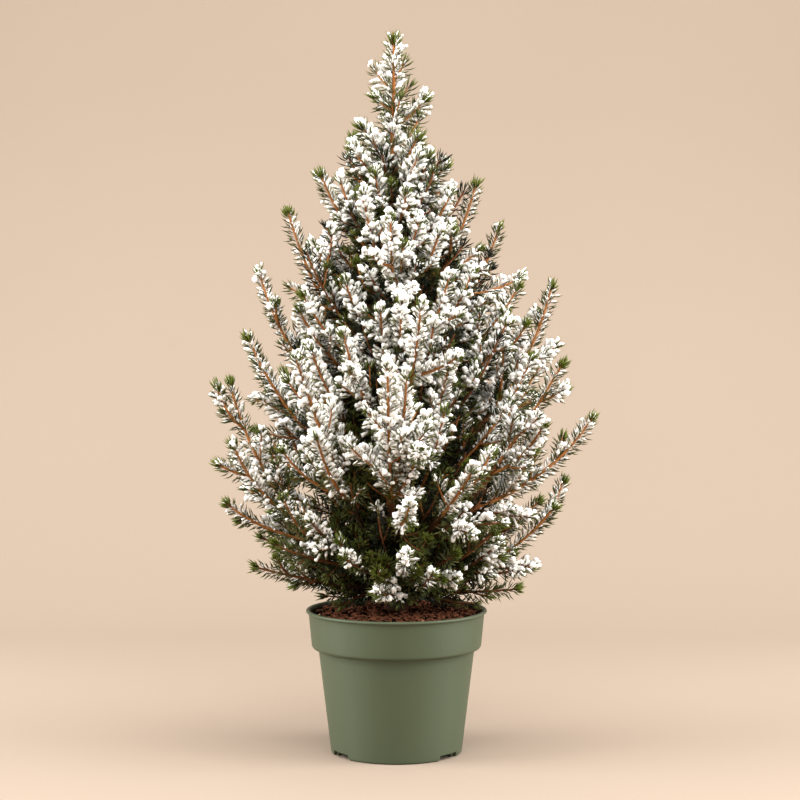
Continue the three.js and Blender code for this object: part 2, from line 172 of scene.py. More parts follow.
class Finish:
    """A material under way: a Principled shader with its constants, and the nodes that feed it."""

    def __init__(self, name, **constants):
        self.material = bpy.data.materials.new(name)
        self.material.use_nodes = True
        self.tree = self.material.node_tree
        self.shader = self.tree.nodes["Principled BSDF"]
        for socket, value in constants.items():
            self.shader.inputs[socket.replace("_", " ")].default_value = value

    def node(self, kind, settings={}, inputs={}, output=0):
        """Adds a node of a kind, sets its settings, fills its sockets, and returns one output as a Wire."""
        made = self.tree.nodes.new(kind)
        for setting, value in settings.items():
            setattr(made, setting, value)
        for socket, value in inputs.items():
            if isinstance(value, Wire):
                self.tree.links.new(value.socket, made.inputs[socket])
            else:
                made.inputs[socket].default_value = value
        return Wire(self, made.outputs[output])

    def feed(self, socket, wire):
        """Links a wire to one of the shader's sockets."""
        self.tree.links.new(wire.socket, self.shader.inputs[socket])

    def noise(self, scale, detail=3.0, stretch=(1, 1, 1)):
        """Cloudy noise from 0 to 1 on Object coordinates, stretched along the axes."""
        place = self.node("ShaderNodeTexCoord", output="Object")
        mapped = self.node("ShaderNodeMapping", {}, {"Vector": place, "Scale": stretch})
        return self.node("ShaderNodeTexNoise", {}, {"Vector": mapped, "Scale": scale, "Detail": detail})

    def blend(self, share, first, second):
        """A colour between two colours, by a share from 0 to 1. A Mix node repeats its sockets' names, so
        they go by number: 0 takes the share, 6 and 7 the colours, and output 2 gives the mixed colour."""
        colours = {6: first if isinstance(first, Wire) else (*first, 1),
                   7: second if isinstance(second, Wire) else (*second, 1)}
        return self.node("ShaderNodeMix", {"data_type": "RGBA"}, {0: share, **colours}, output=2)

    def bump(self, height, strength, distance):
        """Feeds the shader's Normal with a relief of a height, up to a distance deep."""
        relief = self.node(
            "ShaderNodeBump", {}, {"Height": height, "Strength": strength, "Distance": distance}
        )
        self.feed("Normal", relief)


def linear(red, green, blue):
    """A colour given as screen values from 0 to 255, as the linear values that a shader takes."""
    share = np.array([red, green, blue]) / 255
    return tuple(np.where(share <= 0.04045, share / 12.92, ((share + 0.055) / 1.055) ** 2.4))


# %% [markdown]
# ## Studio
#
# A sheet of warm beige paper lies under the pot and sweeps up behind it, so there is no line where floor
# meets wall. Two planes and a bevel would do too. Here the sheet is one profile, flat, then a quarter of a
# circle, then upright, drawn out sideways, so that its light changes evenly. Its back is clear, so that the
# plant can also be seen from behind it. Large soft lights stand left and right, which brightens both flanks
# of the pot more than its middle. One hangs above in front, and a weaker strip hangs above behind the plant
# and lifts the floor round the pot.

# %% Paper sweep
SWEEP = {"front": -2.6, "bend_starts": 0.75, "bend_radius": 0.9, "top": 3.4, "half_width": 3.2, "columns": 9}


def paper_sweep():
    """A flat stretch, a quarter circle and an upright stretch as one line, repeated across the sheet."""
    flat = np.stack([np.linspace(SWEEP["front"], SWEEP["bend_starts"], 30), np.zeros(30)], -1)
    turn = np.linspace(0, math.pi / 2, 40)[1:]
    middle = np.array([SWEEP["bend_starts"], SWEEP["bend_radius"]])
    arc = middle + SWEEP["bend_radius"] * np.stack([np.sin(turn), -np.cos(turn)], -1)
    upright = np.stack([np.full(20, arc[-1, 0]), np.linspace(arc[-1, 1], SWEEP["top"], 21)[1:]], -1)
    line, columns = np.concatenate([flat, arc, upright]), SWEEP["columns"]
    x = np.repeat(np.linspace(-SWEEP["half_width"], SWEEP["half_width"], columns)[None], len(line), 0)
    y, z = np.repeat(line[:, :1], columns, 1), np.repeat(line[:, 1:], columns, 1)
    here = (np.arange(len(line) - 1)[:, None] * columns + np.arange(columns - 1)).ravel()
    faces = np.stack([here, here + 1, here + columns + 1, here + columns], -1)
    return np.stack([x, y, z], -1).reshape(-1, 3), [faces]


paper = Finish("paper", Roughness=0.95, Specular_IOR_Level=0.1)
tint = paper.noise(1.4, 2.0)
paper.feed("Base Color", paper.blend(tint, linear(144, 129, 115), linear(149, 134, 119)))
behind = paper.node("ShaderNodeNewGeometry", output="Backfacing")
clear = paper.node("ShaderNodeBsdfTransparent")
front_side = Wire(paper, paper.shader.outputs[0])
one_sided = paper.node("ShaderNodeMixShader", {}, {0: behind, 1: front_side, 2: clear})
paper.tree.links.new(one_sided.socket, paper.tree.nodes["Material Output"].inputs["Surface"])
sweep = mesh_piece("paper_sweep", *paper_sweep(), paper.material)

# %% Lights
AIM = (0, 0, 0.4)
LIGHTS = {
    "left_light": {"place": (-1.9, -0.35, 0.9), "aim": AIM, "size": (1.2, 1.8), "power": 84},
    "right_light": {"place": (1.9, -0.35, 0.9), "aim": AIM, "size": (1.2, 1.8), "power": 80},
    "top_light": {"place": (0.2, -1.2, 2.3), "aim": (0, -0.25, 0), "size": (2.8, 2.2), "power": 114},
    "floor_light": {"place": (-0.1, 0.45, 1.7), "aim": (-0.1, -0.1, 0), "size": (2.4, 0.6), "power": 15},
}
SKY_COLOUR, SKY_STRENGTH = linear(250, 241, 230), 0.48


def soft_light(name, place, aim, size, power):
    """A rectangular light of a width and height that faces its aim."""
    data = bpy.data.lights.new(name, "AREA")
    data.shape, data.size, data.size_y, data.energy = "RECTANGLE", *size, power
    light = bpy.data.objects.new(name, data)
    light.location = place
    towards = unit(np.array(aim, float) - np.array(place, float))
    light.rotation_euler = (math.acos(-towards[2]), 0, math.atan2(-towards[0], towards[1]))
    bpy.context.scene.collection.objects.link(light)


for name, light in LIGHTS.items():
    soft_light(name, **light)
world = bpy.data.worlds.new("studio")
world.use_nodes = True
world.node_tree.nodes["Background"].inputs["Color"].default_value = (*SKY_COLOUR, 1)
world.node_tree.nodes["Background"].inputs["Strength"].default_value = SKY_STRENGTH
bpy.context.scene.world = world
bpy.context.scene.view_settings.view_transform = "Standard"
print("lights", ", ".join(LIGHTS))

# %% [markdown]
# ## The frame's own points
#
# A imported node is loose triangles, so every corner is there several times. A weld modifier would join them,
# but a node's mesh is left alone, so its points are read into an array and equal ones are merged there.
# That gives back the rings and poles of the solids, which say where limbs run and where shoots end.

# %% Merge a node's points
def merged_node(name):
    """A node's distinct points, and its edges as pairs of point numbers in both directions."""
    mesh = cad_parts[name].data
    points = np.empty(len(mesh.vertices) * 3, np.float32)
    mesh.vertices.foreach_get("co", points)
    mesh.calc_loop_triangles()
    corners = np.empty(len(mesh.loop_triangles) * 3, np.int32)
    mesh.loop_triangles.foreach_get("vertices", corners)
    near_points = np.round(points.reshape(-1, 3).astype(float), 4)
    distinct, number = np.unique(near_points, axis=0, return_inverse=True)
    triangles = number.ravel()[corners].reshape(-1, 3)
    edges = np.concatenate([triangles[:, [0, 1]], triangles[:, [1, 2]], triangles[:, [2, 0]]])
    edges = np.unique(np.sort(edges[edges[:, 0] != edges[:, 1]], 1), axis=0)
    return distinct, np.concatenate([edges, edges[:, ::-1]])


pot_points, _ = merged_node("pot")
print("pot points", len(pot_points))

# %% [markdown]
# ## Pot
#
# The pot is thin moulded plastic: a tapering body, a step out to a deep collar, and a narrow lip. It could
# be a curve turned by a Screw modifier, with the drain channels cut out afterwards. Worked out as one
# surface of revolution it needs no cut: the outline is read from the frame, its corners are rounded as a
# mould rounds them, and it is turned about the axis. Within three wedges the foot of the wall and the floor
# lift by a few millimetres, which makes the channels. A short rib stands in the mouth of each.

# %% Outline of the pot
WALL = 1.6 * MM
FLOOR = 1.8 * MM
MOUTH_BEVEL = (0.6 * MM, 1 * MM)
OUTER = {"corner": 1.2 * MM, "step": 7 * MM}
INNER_SIDE = {"corner": 1 * MM, "step": 9 * MM}
CHANNELS = {"headings": (322, 212, 90), "half_angle": 12, "edge": 0.6, "inner": 26 * MM, "rise": 5.6 * MM}


def outline_from_frame(points):
    """The pot's radius at each height of its outside, from the foot up. Levels inside are left out."""
    heights = np.round(points[:, 2], 4)
    levels = np.unique(heights)
    radii = np.array([np.hypot(*points[heights == level, :2].T).max() for level in levels])
    outside = radii > np.maximum.accumulate(radii) - 1e-6
    outside[-1] = True
    return np.stack([radii, levels], -1)[outside]


def rounded(line, radius, steps=4):
    """A line of points with each corner cut back by up to a radius and filled by a short curve."""
    before, corner, after = line[:-2], line[1:-1], line[2:]
    back, ahead = before - corner, after - corner
    cut = np.minimum(radius, 0.45 * np.minimum(np.linalg.norm(back, axis=1), np.linalg.norm(ahead, axis=1)))
    start, end = corner + unit(back) * cut[:, None], corner + unit(ahead) * cut[:, None]
    share = np.linspace(0, 1, steps)[None, :, None]
    curve = (
        (1 - share) ** 2 * start[:, None]
        + 2 * share * (1 - share) * corner[:, None]
        + share**2 * end[:, None]
    )
    return np.concatenate([line[:1], curve.reshape(-1, 2), line[-1:]])


def spaced(line, step):
    """The same line with more points, so that none lie more than a step apart."""
    parts = [
        np.linspace(a, b, max(2, int(np.ceil(np.linalg.norm(b - a) / step)) + 1))[:-1]
        for a, b in zip(line[:-1], line[1:])
    ]
    return np.concatenate([*parts, line[-1:]])


outside = outline_from_frame(pot_points)
lip_radius = outside[:, 0].max()
pot_height = outside[-1, 1]
inside = (outside[outside[:, 0] < lip_radius - 1 * MM] + (-WALL, WALL))[::-1]
mouth = [[inside[0, 0] + MOUTH_BEVEL[0], pot_height], [inside[0, 0], pot_height - MOUTH_BEVEL[1]]]
inside = np.concatenate([mouth, inside[1:]])
inside = inside[inside[:, 1] > FLOOR]
floor_line = [[inside[-1, 0] - 1 * MM, FLOOR], [0, FLOOR]]
outer_line = spaced(rounded(np.concatenate([[[0, 0]], outside]), OUTER["corner"]), OUTER["step"])
inner_line = spaced(rounded(np.concatenate([inside, floor_line]), INNER_SIDE["corner"]), INNER_SIDE["step"])
print("pot outline in mm", np.round(outside / MM, 1).tolist())

# %% Turn the pot
POT_COLUMNS = 360


def smooth_step(low, high, value):
    """0 below low, 1 above high, and an even S between."""
    share = np.clip((value - low) / (high - low), 0, 1)
    return share * share * (3 - 2 * share)


def turned_pot(outer, inner):
    """Each (radius, height) of the line goes round the axis. Inside a channel's wedge, heights are at least
    the channel's rise, and on the inner line at least that and a wall's thickness."""
    line = np.concatenate([outer[1:], inner[:-1]])
    least = np.concatenate([np.full(len(outer) - 1, 0.0), np.full(len(inner) - 1, WALL)])
    turn = np.arange(POT_COLUMNS) * 2 * np.pi / POT_COLUMNS
    lifted = np.zeros(POT_COLUMNS)
    half_angle, edge = CHANNELS["half_angle"], CHANNELS["edge"]
    for heading in CHANNELS["headings"]:
        away = np.abs((np.degrees(turn) - heading + 180) % 360 - 180)
        lifted = np.maximum(lifted, 1 - smooth_step(half_angle - edge, half_angle + edge, away))
    reach = smooth_step(CHANNELS["inner"] - 1 * MM, CHANNELS["inner"] + 1 * MM, line[:, 0])
    roof = (CHANNELS["rise"] + least)[:, None] * lifted[None] * reach[:, None]
    height = np.maximum(line[:, 1:2], roof)
    points = np.stack([line[:, :1] * np.cos(turn), line[:, :1] * np.sin(turn), height], -1).reshape(-1, 3)
    poles = np.array([[0, 0, 0], [0, 0, FLOOR]])
    rows, total = len(line), len(points)
    ring = np.arange(POT_COLUMNS)
    faces = [
        grid_faces(rows, POT_COLUMNS),
        cap_faces(ring, total, False),
        cap_faces(ring + (rows - 1) * POT_COLUMNS, total + 1, True),
    ]
    return np.concatenate([points, poles]), faces


# %% [markdown]
# ## Pot plastic
#
# Nursery pots are injection moulded in a dull sage green. One flat colour would look like paint. The skin
# has a fine, even grain that spreads the highlights, and its colour and gloss are slightly cloudy where the
# melt flowed, so two noises give the clouds and a third the grain.

# %% Plastic finish
plastic = Finish("sage_plastic", Roughness=0.55, Specular_IOR_Level=0.35)
clouds = plastic.noise(14, 3)
flow = plastic.noise(60, 2, (1, 1, 0.15))
melt = clouds * 0.6 + flow * 0.4
plastic.feed("Base Color", plastic.blend(melt, linear(61, 70, 49), linear(70, 79, 57)))
plastic.feed("Roughness", clouds * 0.16 + 0.46)
grain = plastic.noise(2600, 2)
plastic.bump(grain * 0.7 + flow * 0.3, strength=0.12, distance=0.0004)
pot = mesh_piece("pot_shell", *turned_pot(outer_line, inner_line), plastic.material)

# %% Ribs in the channel mouths
RIB = {
    "headings": (328, 206, 90),
    "radius": 65.4 * MM,
    "size": (5 * MM, 1.6 * MM, 4.6 * MM),
    "middle": 3.2 * MM,
    "columns": 20,
    "rows": 9,
    "squareness": 0.3,
}


def rounded_blocks(places, turns, size):
    """Superquadrics: a sphere's cosines and sines raised to a small power, so that it fills its box."""
    columns, rows = RIB["columns"], RIB["rows"]
    across = np.arange(columns) * 2 * np.pi / columns
    up = np.linspace(-np.pi / 2, np.pi / 2, rows + 2)[1:-1, None]
    powered = lambda wave: np.sign(wave) * np.abs(wave) ** RIB["squareness"]
    x = powered(np.cos(up)) * powered(np.cos(across)) * size[0] / 2
    y = powered(np.cos(up)) * powered(np.sin(across)) * size[1] / 2
    z = powered(np.sin(up)) * np.ones(columns) * size[2] / 2
    rings, ring, total = np.stack([x, y, z], -1).reshape(-1, 3), np.arange(columns), rows * columns
    points = np.concatenate([rings, [[0, 0, -size[2] / 2], [0, 0, size[2] / 2]]])
    faces = [
        grid_faces(rows, columns),
        cap_faces(ring, total, False),
        cap_faces(ring + total - columns, total + 1, True),
    ]
    placed = spun(points, turns) + places[:, None]
    return placed.reshape(-1, 3), [copied(part, len(places), len(points)) for part in faces]


turns = np.radians(RIB["headings"])
places = np.stack([np.cos(turns), np.sin(turns), 0 * turns], -1) * RIB["radius"] + (0, 0, RIB["middle"])
ribs = mesh_piece("pot_ribs", *rounded_blocks(places, turns, RIB["size"]), plastic.material)

# %% [markdown]
# ## Compost
#
# The pot is filled to just under its lip with a coarse, reddish brown compost that heaps slightly towards
# the stem. A bumpy disc alone would look poured. What the eye reads as compost is loose bits with gaps
# between them, so a lumpy disc gives only the body, and 2,550 small uneven clods and wood chips lie on it,
# each an icosahedron with its corners moved about and flattened a little. Among them lie 900 slivers of
# bark.

# %% Lumpy disc
rng = np.random.default_rng(912)
fill_low, fill_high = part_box("compost")
FILL_RADIUS = (fill_high.x - fill_low.x) / 2 - 0.2 * MM
EDGE_HEIGHT = 145.2 * MM
CROWN_HEIGHT = fill_high.z - 1.2 * MM
UNDERSIDE = EDGE_HEIGHT - 8 * MM
CRUMBLE = 1.7


def wave_field(count, shortest, longest):
    """A sum of plane waves of random headings, wavelengths and starts, taller when longer, mostly from -1
    to 1."""
    length = shortest * (longest / shortest) ** rng.random(count)
    heading, start = rng.random(count) * 2 * np.pi, rng.random(count) * 2 * np.pi
    height = length**0.6 / np.sum(length**1.2) ** 0.5

    def field(x, y):
        along = x[..., None] * np.cos(heading) + y[..., None] * np.sin(heading)
        return np.sum(height * np.cos(along * 2 * np.pi / length + start), -1)

    return field


crumble = wave_field(90, 3 * MM, 30 * MM)


def compost_height(x, y):
    """An edge height that rises to the crown near the stem, with crumbling on top."""
    heap = 1 - smooth_step(20 * MM, FILL_RADIUS, np.hypot(x, y))
    return EDGE_HEIGHT + (CROWN_HEIGHT - EDGE_HEIGHT) * heap + crumble(x, y) * CRUMBLE * MM


def compost_disc():
    """Rings of the height field out to the wall, then a skirt and a flat underside."""
    rings, columns = 46, 216
    turn = np.arange(columns) * 2 * np.pi / columns
    radius = np.linspace(1.5 * MM, FILL_RADIUS, rings)[:, None]
    x, y = radius * np.cos(turn), radius * np.sin(turn)
    top = np.stack([x, y, compost_height(x, y)], -1)
    under = top[-1:].copy()
    under[..., 2] = UNDERSIDE
    points = np.concatenate([top, under]).reshape(-1, 3)
    poles = np.array([[0, 0, CROWN_HEIGHT], [0, 0, UNDERSIDE]])
    ring, total = np.arange(columns), len(points)
    faces = [
        grid_faces(rings + 1, columns)[:, ::-1],
        cap_faces(ring, total, True),
        cap_faces(ring + total - columns, total + 1, False),
    ]
    return np.concatenate([points, poles]), faces


def soil_finish(name, dark, light):
    """Crumbly matter with nearly no gloss: one fine noise gives its shades, its roughness and its bump."""
    soil = Finish(name, Roughness=0.95, Specular_IOR_Level=0.04)
    grain = soil.noise(420, 4)
    soil.feed("Base Color", soil.blend(grain, dark, light))
    soil.feed("Roughness", grain * 0.2 + 0.78)
    soil.bump(grain, strength=0.6, distance=0.0012)
    return soil.material


# The disc shows only in the gaps between the clods and is near black: painted shade.
bed_soil_painted_shade = soil_finish("soil_bed_painted_shade", linear(3, 2, 1), linear(12, 7, 4))
compost = mesh_piece("compost_bed_painted_shade", *compost_disc(), bed_soil_painted_shade)

# %% Clods on the disc
golden = (1 + 5**0.5) / 2
ICO_POINTS = unit(np.array(
    [[a, b * golden, 0] for a in (-1, 1) for b in (-1, 1)]
    + [[0, a, b * golden] for a in (-1, 1) for b in (-1, 1)]
    + [[b * golden, 0, a] for a in (-1, 1) for b in (-1, 1)]
))
OCTA_POINTS = np.array(
    [[a, 0, 0] for a in (-1, 1)] + [[0, a, 0] for a in (-1, 1)] + [[0, 0, a] for a in (-1, 1)]
)


def shell_faces(corners, edge):
    """Every three corners that lie one edge apart, each turned to face away from the middle."""
    near = edge > np.linalg.norm(corners[:, None] - corners[None], axis=-1)
    total = len(corners)
    trios = [(i, j, k) for i in range(total) for j in range(i + 1, total) for k in range(j + 1, total)
             if near[i, j] and near[j, k] and near[i, k]]
    faces = np.array(trios)
    a, b, c = (corners[faces[:, i]] for i in range(3))
    turned = np.einsum("ij,ij->i", np.cross(b - a, c - a), a) < 0
    faces[turned] = faces[turned][:, ::-1]
    return faces


ICO = ICO_POINTS, shell_faces(ICO_POINTS, 1.2)
OCTA = OCTA_POINTS, shell_faces(OCTA_POINTS, 1.5)
print("faces of an icosahedron", len(ICO[1]), "and of an octahedron", len(OCTA[1]))


def lumps(places, sizes, unevenness, flatness=1.0, shell=ICO):
    """Small solids of given radii, each corner moved in or out by its own chance, all flattened in height."""
    corners, faces = shell[0] * (1, 1, flatness), shell[1]
    scale = sizes[:, None] * (1 + unevenness * rng.uniform(-1, 1, (len(sizes), len(corners))))
    shape = spun(corners, rng.random(len(sizes)) * 2 * np.pi) * scale[..., None]
    return (places[:, None] + shape).reshape(-1, 3), [copied(faces, len(sizes), len(corners))]


def scattered_clods(count, smallest, largest):
    """Clods spread evenly over the disc, small ones far more often than large, partly sunk in it."""
    size = smallest + (largest - smallest) * rng.random(count) ** 2
    radius = (FILL_RADIUS - 1.6 * size - 0.5 * MM) * np.sqrt(rng.random(count))
    turn = rng.random(count) * 2 * np.pi
    x, y = radius * np.cos(turn), radius * np.sin(turn)
    places = np.stack([x, y, compost_height(x, y) + 0.25 * size], -1)
    return lumps(places, size, unevenness=0.38, flatness=0.75)


# %% Slivers between the clods
def spindles(feet, ways, sides_up, lengths, radii, shares, profile, corners, bend=0.0):
    """Closed spindles: a pole at the foot, a ring of corners at each share of the length with its part of the
    radius, and a pole at the tip. The rings lie off the straight line by a bend towards one side."""
    other = unit(np.cross(ways, sides_up))
    side = np.cross(other, ways)
    turn = np.arange(corners) * 2 * np.pi / corners
    ring = np.cos(turn)[None, :, None] * side[:, None] + np.sin(turn)[None, :, None] * other[:, None]
    layers = [feet[:, None]]
    for share, part in zip(shares, profile):
        sway = (lengths * bend * 4 * share * (1 - share))[:, None]
        middle = feet + ways * (lengths * share)[:, None] + side * sway
        layers.append(middle[:, None] + ring * (radii * part)[:, None, None])
    layers.append((feet + ways * lengths[:, None])[:, None])
    points = np.concatenate(layers, 1)
    each, rings, around = points.shape[1], len(shares), np.arange(corners)
    after = (around + 1) % corners
    template = [np.stack([1 + after, 1 + around, 0 * around], -1)]
    for layer in range(rings - 1):
        low, high = 1 + layer * corners, 1 + (layer + 1) * corners
        template.append(np.stack([low + around, low + after, high + after], -1))
        template.append(np.stack([low + around, high + after, high + around], -1))
    last = 1 + (rings - 1) * corners
    template.append(np.stack([last + around, last + after, 0 * around + each - 1], -1))
    return points.reshape(-1, 3), [copied(np.concatenate(template), len(feet), each)]


def scattered_slivers(count, shortest, longest):
    """Splinters of bark that lie on the disc at every heading, a little tilted, four sided and blunt."""
    length = rng.uniform(shortest, longest, count)
    radius = (FILL_RADIUS - longest - 1 * MM) * np.sqrt(rng.random(count))
    turn, heading = rng.random((2, count)) * 2 * np.pi
    tilt = rng.normal(0, 0.24, count)
    x, y = radius * np.cos(turn), radius * np.sin(turn)
    feet = np.stack([x, y, compost_height(x, y) + 1.6 * MM], -1)
    ways = np.stack([np.cos(heading) * np.cos(tilt), np.sin(heading) * np.cos(tilt), np.sin(tilt)], -1)
    sides_up = unit(rng.normal(size=(count, 3)))
    radii = rng.uniform(0.5, 1.1, count) * MM
    return spindles(feet, ways, sides_up, length, radii, [0.12, 0.85], [1.0, 0.8], corners=4, bend=0.06)


red_soil = soil_finish("soil_red", linear(30, 15, 9), linear(126, 78, 56))
# The darkest clods are near black: partly the compost's own dark crumbs, partly painted shade.
dark_soil_and_painted_shade = soil_finish("soil_dark_and_painted_shade", linear(4, 2, 1), linear(18, 10, 6))
red_clods = mesh_piece("clods_red", *scattered_clods(1100, 0.8 * MM, 3.6 * MM), red_soil, smooth=False)
dark_clods_and_painted_shade = mesh_piece("clods_dark_and_painted_shade", *scattered_clods(1300, 0.9 * MM, 3.2 * MM), dark_soil_and_painted_shade, smooth=False)
chips = mesh_piece("chips_pale", *scattered_clods(150, 0.7 * MM, 2.0 * MM),
                   soil_finish("wood_chips", linear(120, 92, 62), linear(176, 146, 106)), smooth=False)
slivers = mesh_piece("slivers_red", *scattered_slivers(900, 4 * MM, 9 * MM),
                     soil_finish("bark_slivers", linear(42, 22, 13), linear(140, 88, 63)), smooth=False)

# %% [markdown]
# ## Where the limbs run
#
# The limbs could be drawn as curves by hand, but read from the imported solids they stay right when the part
# changes. The trunk's solid is a stack of rings, so each ring's middle gives its axis and the mean distance
# from it gives its girth. A bough's solid ends where its foliage starts, but the bough runs on inside the
# foliage to the mass's main tip. A quadratic curve is fitted through the bough's points so that it ends
# there.

# %% Trunk axis
UP = np.array([0.0, 0.0, 1.0])
trunk_points, _ = merged_node("trunk")


def trunk_rings(points):
    """Middle and mean radius of the points at each height, for heights that hold a whole ring."""
    heights = np.round(points[:, 2], 4)
    levels = [level for level in np.unique(heights) if (heights == level).sum() >= 6]
    rings = [points[heights == level] for level in levels]
    middle = np.array([ring.mean(0) for ring in rings])
    girth = np.array([np.linalg.norm(ring[:, :2] - m[:2], axis=1).mean() for ring, m in zip(rings, middle)])
    return middle, girth


trunk_middle, trunk_girth = trunk_rings(trunk_points)
trunk_top = trunk_points[trunk_points[:, 2].argmax()]
print("trunk rings", len(trunk_middle), "girth in mm", np.round(trunk_girth / MM, 1).tolist())


def on_trunk(height):
    """The point of the trunk's axis at a height."""
    x, y = (np.interp(height, trunk_middle[:, 2], trunk_middle[:, axis]) for axis in range(2))
    return np.array([x, y, height])


# %% Tips of the masses
ONE_SIDED, FEWEST_EDGES, MOST_RISE = 0.66, 4, 0.2
BOUGH_POINTS = 200


def shoot_tips(points, edges, root):
    """Poles of a mass: every neighbour lies to one side, lower, and nearer the root."""
    ways = unit(points[edges[:, 1]] - points[edges[:, 0]])
    count = np.bincount(edges[:, 0], minlength=len(points))
    mean = np.stack([np.bincount(edges[:, 0], ways[:, axis], len(points)) for axis in range(3)], -1)
    mean /= np.maximum(count, 1)[:, None]
    far = np.linalg.norm(points - root, axis=1)
    beaten = np.bincount(edges[:, 0], far[edges[:, 1]] >= far[edges[:, 0]], len(points)) > 0
    one_sided = (np.linalg.norm(mean, axis=1) > ONE_SIDED) & (mean[:, 2] < MOST_RISE)
    pole = one_sided & (count >= FEWEST_EDGES) & ~beaten
    return points[pole]


def quadratic(start, middle, end, count=60):
    """Points on the curve (1-t)^2 start + 2t(1-t) middle + t^2 end."""
    t = np.linspace(0, 1, count)[:, None]
    return (1 - t) ** 2 * start + 2 * t * (1 - t) * middle + t**2 * end


def fitted_bough(points, tip):
    """The quadratic that ends at the tip and passes nearest the points: its start and middle are solved by
    least squares, and each point's share of the way is found again on the new curve, a few times over."""
    foot = points[np.hypot(points[:, 0], points[:, 1]).argmin()]
    share = (points - foot) @ (tip - foot) / np.dot(tip - foot, tip - foot)
    for _ in range(8):
        t = share[:, None]
        weights = np.concatenate([(1 - t) ** 2, 2 * t * (1 - t)], 1)
        solved = np.linalg.lstsq(weights, points - t**2 * tip, rcond=None)[0]
        curve = quadratic(solved[0], solved[1], tip, BOUGH_POINTS)
        apart = np.linalg.norm(points[:, None] - curve[None], axis=-1)
        share = apart.argmin(1) / (BOUGH_POINTS - 1)
    return curve, share.max(), apart.min(1).std()


def even_path(path, step):
    """The same line with points at equal steps of about a given length."""
    along = np.concatenate([[0], np.cumsum(np.linalg.norm(np.diff(path, axis=0), axis=1))])
    stations = np.linspace(0, along[-1], max(4, int(round(along[-1] / step)) + 1))
    return np.stack([np.interp(stations, along, path[:, axis]) for axis in range(3)], -1)


names = sorted(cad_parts)
bough_names = [name.removeprefix("bough_") for name in names if name.startswith("bough_")]
mass_names = [name.removeprefix("foliage_") for name in names if name.startswith("foliage_")]
masses = {name: merged_node("foliage_" + name) for name in mass_names}
crown_points = np.concatenate([points for points, _ in masses.values()])
boughs, bough_ends = {}, {}
for name in bough_names:
    solid, _ = merged_node("bough_" + name)
    tips = shoot_tips(*masses[name + "_end"], on_trunk(solid[:, 2].min()))
    fits = [fitted_bough(solid, tip) for tip in tips]
    boughs[name], bough_ends[name], _ = min(fits, key=lambda fit: fit[2])
    print(name, "bare share", round(float(bough_ends[name]), 2), "tip in mm", np.round(boughs[name][-1] / MM))


def bare_bough(name, more=0.0):
    """A bough from its foot to where its foliage starts, and on for a share more of its whole length."""
    return boughs[name][: int(BOUGH_POINTS * min(1.0, bough_ends[name] + more))]


# %% [markdown]
# ## A branching rule
#
# A spruce grows by one rule at every scale: a shoot leaves its parent at about half a right angle, turns up
# towards the light, and carries shorter shoots of its own, set round it in a spiral, except along its
# newest stretch at the tip. Shoots scattered at random would make a bush, so they are grown by that rule.
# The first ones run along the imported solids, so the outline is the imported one, and all further ones grow
# from them, with seeded chance.

# %% Room inside the crown and the dusting of snow
NEAR_HEADING, NEAR_HEIGHT = 32, 38 * MM
LOW_CROWN = (220 * MM, 400 * MM)
LOW_BOUGHS = (205 * MM, 345 * MM)
OPEN_TOP = (540 * MM, 600 * MM)
NARROW_TOP = (590 * MM, 650 * MM)
BARER_TOP, TOP_LOSS = (590 * MM, 670 * MM), 0.46
FLANK, FLANK_SHARE, FLANK_LOSS = (60 * MM, 150 * MM), (0.45, 0.88), 0.84
LOADED, NEARLY_BARE = (0.95, 1.3), (0.1, 0.5)


def crown_reach(heading, height):
    """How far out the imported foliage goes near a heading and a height: the largest distance from the axis
    among its points whose heading and height are near enough to them."""
    turn = np.degrees(np.arctan2(crown_points[:, 1], crown_points[:, 0]))
    level = np.abs(crown_points[:, 2] - height) < NEAR_HEIGHT
    near = (np.abs((turn - heading + 180) % 360 - 180) < NEAR_HEADING) & level
    return float(np.hypot(*crown_points[near, :2].T).max()) if near.any() else 30 * MM


def exposure(outness, height):
    """From 0 deep inside the crown to 1 outside, for numbers or arrays. Snow reaches in to a bare core, whose
    radius is half the crown's reach low down and under a quarter of it further up. The top has no core."""
    bare = 0.5 - 0.28 * smooth_step(*LOW_CROWN, height)
    return np.maximum(smooth_step(bare, bare + 0.3, outness), smooth_step(*OPEN_TOP, height))


def dusting(place, leads):
    """How heavily a shoot is dusted, from 0 to about 1, by where its tip is: most in the middle of the crown,
    less towards its left and right flanks and its top, and little on the lowest boughs. A leading shoot's
    dusting varies a little by chance. A side shoot is either loaded or nearly bare by chance, and bare
    wherever it lies deep inside."""
    x, y, z = place
    reach = crown_reach(math.degrees(math.atan2(y, x)), z)
    exposed = exposure(math.hypot(x, y) / reach, z)
    half_width = crown_reach(0 if x > 0 else 180, z)
    at_side = smooth_step(*FLANK_SHARE, abs(x) / half_width) * (1 - smooth_step(*NARROW_TOP, z))
    sides = 1 - FLANK_LOSS * max(smooth_step(*FLANK, abs(x)), at_side)
    height = (0.42 + 0.58 * smooth_step(*LOW_BOUGHS, z)) * (1 - TOP_LOSS * smooth_step(*BARER_TOP, z))
    if leads:
        return float(np.clip(0.12 + 0.88 * height * (0.14 + 0.86 * sides) + rng.normal(0, 0.12), 0.03, 1.0))
    if rng.random() < exposed * (0.16 + 0.84 * height * (0.3 + 0.7 * sides)):
        return rng.uniform(*LOADED)
    return rng.uniform(*NEARLY_BARE) * float(exposed * height)


# %% Shoots along the solids
rng = np.random.default_rng(912)
MAIN, FORK, INNER, SIDE, TWIG = range(5)
END_GAP = 10 * MM
BEND_OUT, BEND_UP = 0.68, 0.28
shoots = []


